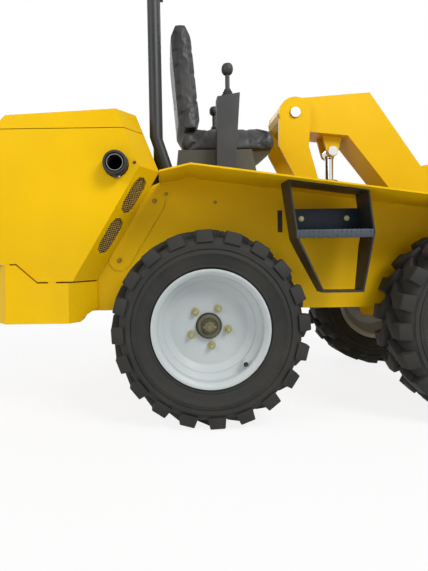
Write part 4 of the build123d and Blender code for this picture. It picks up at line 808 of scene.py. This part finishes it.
# Bolts on the walls and access plates, a black plug in the cover's corner whose black is painted shade of the
# hole there, bolts on the steps' back plates
boltSpec = [  # ahead, across, height, radius, head, finish
    (-147, 285, 843, 0.0055, 0.005, boltYellow), (47, 285, 807, 0.0050, 0.005, boltYellow),
    (-193, 289, 815, 0.0070, 0.006, boltYellow), (-334, 289, 583, 0.0070, 0.006, boltYellow),
    # the small black plug on the cover stands in for a hole: its black is painted shade
    (-262, 400, 946, 0.0042, 0.002, boltBlack), (352, 401.5, 728, 0.0070, 0.005, zincSteel),
    (520, 401.5, 728, 0.0070, 0.005, zincSteel),
]
pieces = []
for ahead, across, height, radius, head, metal in boltSpec:
    for side in (-1, 1):
        bolt = hexBolt(at(ahead, side * across, height), (0, side, 0), radius, head)
        pieces += [settle(piece, "sideBolts", metal, 30) for piece in bolt]
mount(joinAll(pieces), "chassis", "steel")

# Sheets on the steps, navy back plate and steel lip, and a black strip behind the slot in each wall: painted
# shade standing in for the dark inside of the body
sheetSpec = {  # rear, front, inner, outer, bottom, top, finish
    "stepBack": (310, 572, 400.2, 401.5, 685, 763, navyPaint),
    "stepLip": (306, 574, 500.1, 501.3, 654, 682, stepSteel),
    # the slot strip is painted shade: a black sheet behind each wall slot where only the shaded inside would
    # show
    "slotShadeStrip": (285, 321, 273.5, 276.8, 677, 780, blackPlastic),
}
sheetEdge = 0.0004
for name, (rear, front, inner, outer, bottom, top, paint) in sheetSpec.items():
    pair = []
    for side in (-1, 1):
        near, far = sorted((side * inner, side * outer))
        sheet = blockOf(at(rear, near, bottom), at(front, far, top), sheetEdge)
        pair.append(settle(sheet, name, paint))
    mount(joinAll(pair), "chassis", "black_paint")

# Raised diamonds on the steps' lips and treads
treadSpec = {"rear": 308, "front": 572, "pitch": 0.0165, "long": 0.0105, "wide": 0.0042, "rise": 0.0016,
             "top": (0.6, 0.5, 1), "lip": -0.5013, "lipRows": (0.6605, 0.6755), "tread": -0.488,
             "treadRows": 6, "treadTop": 0.6830, "lean": 45}


def treadDiamond():
    startFresh()
    bpy.ops.mesh.primitive_circle_add(vertices=4, radius=1, fill_type="NGON", location=(0, 0, 0))
    obj = bpy.context.object
    editing(obj)
    bpy.ops.mesh.select_all(action="SELECT")
    halves = (treadSpec["long"] / 2, treadSpec["wide"] / 2, 1)
    bpy.ops.transform.resize(value=halves, center_override=(0, 0, 0))
    bpy.ops.mesh.extrude_region_move(TRANSFORM_OT_translate={"value": (0, 0, treadSpec["rise"])})
    bpy.ops.transform.resize(value=treadSpec["top"], center_override=(0, 0, treadSpec["rise"]))
    bpy.ops.object.mode_set(mode="OBJECT")
    return settle(obj, "diamond", stepSteel, 20)


diamond = treadDiamond()
count = int((treadSpec["front"] - treadSpec["rear"]) / 1000 / treadSpec["pitch"])
rows = [(treadSpec["lip"], height, 90) for height in treadSpec["lipRows"]]
rows += [(treadSpec["tread"] + treadSpec["pitch"] * step, treadSpec["treadTop"], 0)
         for step in range(treadSpec["treadRows"])]
first = at(treadSpec["rear"], 0, 0).x
pieces = []
for index, (across, height, tilt) in enumerate(rows):
    for step in range(count):
        lean = math.radians(treadSpec["lean"] if (step + index) % 2 else -treadSpec["lean"])
        place = Vector((first + (step + 0.5) * treadSpec["pitch"], across, height))
        slant = Matrix.Rotation(math.radians(tilt), 4, "X") @ Matrix.Rotation(lean, 4, "Z")
        lay = Matrix.Translation(place) @ slant
        pieces += [copyOf(diamond, lay), copyOf(diamond, mirrorY @ lay)]
bpy.data.objects.remove(diamond)
treads = joinAll(pieces)
treads.name = "stepTreads"
mount(treads, "chassis", "black_paint")
print("bolts and treads done")


# Hand levers: round knob and folded boot over the plain levers
leverSpec = {"ahead": 105, "across": 262, "foot": 1229, "knobHeight": 1343.5,
             "boot": [(0.0270, -0.004), (0.0270, 0.003), (0.0215, 0.008), (0.0235, 0.012), (0.0175, 0.017),
                      (0.0195, 0.021), (0.0135, 0.026), (0.0150, 0.029), (0.0105, 0.036)],
             "knob": [(0.0110, -0.024), (0.0185, -0.0185), (0.0226, -0.0090), (0.0232, 0.0010),
                      (0.0215, 0.0110), (0.0165, 0.0190), (0.0090, 0.0226), (0.0020, 0.0234)]}
for side, hand in ((-1, "Right"), (1, "Left")):
    base = at(leverSpec["ahead"], side * leverSpec["across"], leverSpec["foot"])
    boot = turned(leverSpec["boot"], 32, base, (0, 0, 1))
    grip = at(leverSpec["ahead"], side * leverSpec["across"], leverSpec["knobHeight"])
    knob = turned(leverSpec["knob"], 32, grip, (0, 0, 1))
    lever = joinAll([settle(piece, f"lever{hand}", blackPlastic, 60) for piece in (boot, knob)])
    mount(lever, "chassis", "black_plastic")
print("levers done")


# Seat: padded shapes blown up by a short cloth run, with sewn channels pressed in afterwards
seatSpec = {"voxel": 0.006, "pressure": 4.0, "frames": 20, "cap": 0.022, "groove": 0.0055, "stitch": 0.0065,
            "inset": 0.012, "lift": 0.001, "held": 0.006, "fill": 0.8, "cushionEdge": 0.030,
            "cushionSeams": (0.30, 0.50, 0.70), "backSeams": (0.28, 0.50, 0.72), "backAhead": (-75, -15),
            "backRoom": (0.008, 0.004), "backMiddle": 1.3, "backLean": -0.040, "backEdge": 0.020,
            "backCorner": 0.1}


def swell(obj, resting):  # resting picks the points that lie on something
    spec = seatSpec
    pick(obj)
    obj.data.remesh_voxel_size = spec["voxel"]
    bpy.ops.object.voxel_remesh()
    held = obj.vertex_groups.new(name="held")
    held.add([vert.index for vert in obj.data.vertices if resting(vert.co)], 1.0, "ADD")
    before = [vert.co.copy() for vert in obj.data.vertices]
    cloth = obj.modifiers.new("cloth", "CLOTH")
    cloth.settings.use_pressure = True
    cloth.settings.uniform_pressure_force = spec["pressure"]
    cloth.settings.effector_weights.gravity = 0
    cloth.settings.vertex_group_mass = "held"
    for step in range(1, spec["frames"] + 1):
        bpy.context.scene.frame_set(step)
    pick(obj)
    bpy.ops.object.modifier_apply(modifier=cloth.name)
    bpy.context.scene.frame_set(1)
    for vert, start in zip(obj.data.vertices, before):
        move = vert.co - start
        if move.length > spec["cap"]:
            vert.co = start + move * (spec["cap"] / move.length)


def sew(obj, lines, along, face):  # press straight channels into the side that faces the sitter
    for vert in obj.data.vertices:
        nearest = min(abs(vert.co[along] - line) for line in lines)
        facing = max(vert.normal.dot(face), 0)
        vert.co -= Vector(face) * facing * seatSpec["groove"] * math.exp(-(nearest / seatSpec["stitch"]) ** 2)


def finishPad(obj, name, node):
    applyModifier(obj, "SUBSURF", levels=1, render_levels=1)
    settle(obj, name, vinyl, 60)
    obj.vertex_groups.clear()
    mount(obj, "chassis", "seat_vinyl", node)


low, high = (Vector(corner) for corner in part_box("seat_cushion"))
gap = Vector((seatSpec["inset"],) * 3)
under = Vector((gap.x, gap.y, seatSpec["lift"]))
cushion = blockOf(low + under, high - gap, seatSpec["cushionEdge"], 4)
swell(cushion, lambda place: place.z < low.z + seatSpec["held"])
length = high.x - low.x
sew(cushion, [low.x + length * share for share in seatSpec["cushionSeams"]], 0, (0, 0, 1))
finishPad(cushion, "seatCushion", "seat_cushion")

low, high = (Vector(corner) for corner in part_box("seat_back"))
behind, before = (at(ahead, 0, 0).x for ahead in seatSpec["backAhead"])
roomBehind, roomBefore = seatSpec["backRoom"]
inset = seatSpec["inset"]
backRest = blockOf((behind + roomBehind, low.y + inset, low.z + seatSpec["lift"]),
                   (before - roomBefore, high.y - inset, high.z - inset), 0)
editing(backRest)
pickVerts(backRest, lambda place: place.z > seatSpec["backMiddle"])
bpy.ops.transform.translate(value=(seatSpec["backLean"], 0, 0))
pickVerts(backRest, lambda place: place.z > seatSpec["backMiddle"] and abs(place.y) > seatSpec["backCorner"])
bpy.ops.mesh.bevel(offset=seatSpec["backEdge"], segments=3, affect="EDGES")
bpy.ops.object.mode_set(mode="OBJECT")
swell(backRest, lambda place: place.z < low.z + seatSpec["held"])
height = high.z - low.z
sew(backRest, [low.z + height * share for share in seatSpec["backSeams"]], 2, (1, 0, 0))
finishPad(backRest, "seatBack", "seat_back")
print("seat done")


# Floor, white surroundings, soft light and the photograph's camera
stageSpec = {"floor": 40.0, "floorHeight": -0.0005, "pale": 0.86, "matt": 0.9, "white": 0.85, "fill": 0.40,
             "fillTint": (0.95, 0.97, 1.0, 1)}


def lightPath(tree, labels):
    path = tree.nodes.new("ShaderNodeLightPath")
    seen = path.outputs[labels[0]]
    for label in labels[1:]:
        seen = mathNode(tree, "MAXIMUM", seen, path.outputs[label])
    return seen


startFresh()
bpy.ops.mesh.primitive_plane_add(size=stageSpec["floor"], location=(0, 0, stageSpec["floorHeight"]))
floor = bpy.context.object
floor.name = "floor"
floorPale = bpy.data.materials.new("floorPale")
floorPale.use_nodes = True
tree = floorPale.node_tree
matt = tree.nodes["Principled BSDF"]
matt.inputs["Base Color"].default_value = (stageSpec["pale"],) * 3 + (1,)
matt.inputs["Roughness"].default_value = stageSpec["matt"]
glow = tree.nodes.new("ShaderNodeEmission")
blend = tree.nodes.new("ShaderNodeMixShader")
share = mathNode(tree, "MULTIPLY", lightPath(tree, ["Is Camera Ray", "Is Glossy Ray"]), stageSpec["white"])
for source, target in ((share, 0), (matt.outputs[0], 1), (glow.outputs[0], 2)):
    tree.links.new(source, blend.inputs[target])
tree.links.new(blend.outputs[0], tree.nodes["Material Output"].inputs["Surface"])
floor.data.materials.append(floorPale)

world = bpy.data.worlds.new("studio")
bpy.context.scene.world = world
world.use_nodes = True
tree = world.node_tree
fill = tree.nodes["Background"]
fill.inputs["Strength"].default_value = stageSpec["fill"]
white = tree.nodes.new("ShaderNodeBackground")
blend = tree.nodes.new("ShaderNodeMixShader")
seen = lightPath(tree, ["Is Camera Ray", "Is Glossy Ray", "Is Transmission Ray"])
fill.inputs["Color"].default_value = stageSpec["fillTint"]
white.inputs["Color"].default_value = (1, 1, 1, 1)
for source, target in ((seen, 0), (fill.outputs[0], 1), (white.outputs[0], 2)):
    tree.links.new(source, blend.inputs[target])
tree.links.new(blend.outputs[0], tree.nodes["World Output"].inputs["Surface"])

lampRig = {  # place, target, size, watts
    "key": ((2.2, -3.6, 4.2), (-0.3, -0.3, 0.6), 2.2, 225),
    "side": ((-4.0, -2.8, 2.6), (-0.6, 0, 0.7), 2.5, 70),
    "back": ((-1.0, 4.2, 3.6), (0, 0, 0.8), 3.0, 90),
}
for name, (place, target, size, watts) in lampRig.items():
    startFresh()
    bpy.ops.object.light_add(type="AREA", location=place)
    lamp = bpy.context.object
    lamp.name = name
    lamp.data.size = size
    lamp.data.energy = watts
    lamp.rotation_euler = (Vector(target) - Vector(place)).to_track_quat("-Z", "Y").to_euler()

cameraSpec = {"place": (-0.758, -2.06, 0.601), "roll": 0.8, "lens": 37.68, "sensor": 36,
              "shift": (0.1075, -0.0713), "near": 0.05}
startFresh()
bpy.ops.object.camera_add(location=cameraSpec["place"],
                          rotation=(math.radians(90), math.radians(cameraSpec["roll"]), 0))
camera = bpy.context.object
camera.data.sensor_fit = "HORIZONTAL"
camera.data.sensor_width = cameraSpec["sensor"]
camera.data.lens = cameraSpec["lens"]
camera.data.shift_x, camera.data.shift_y = cameraSpec["shift"]
camera.data.clip_start = cameraSpec["near"]
bpy.context.scene.camera = camera
bpy.context.scene.view_settings.view_transform = "Standard"
print("stage, light and camera set")
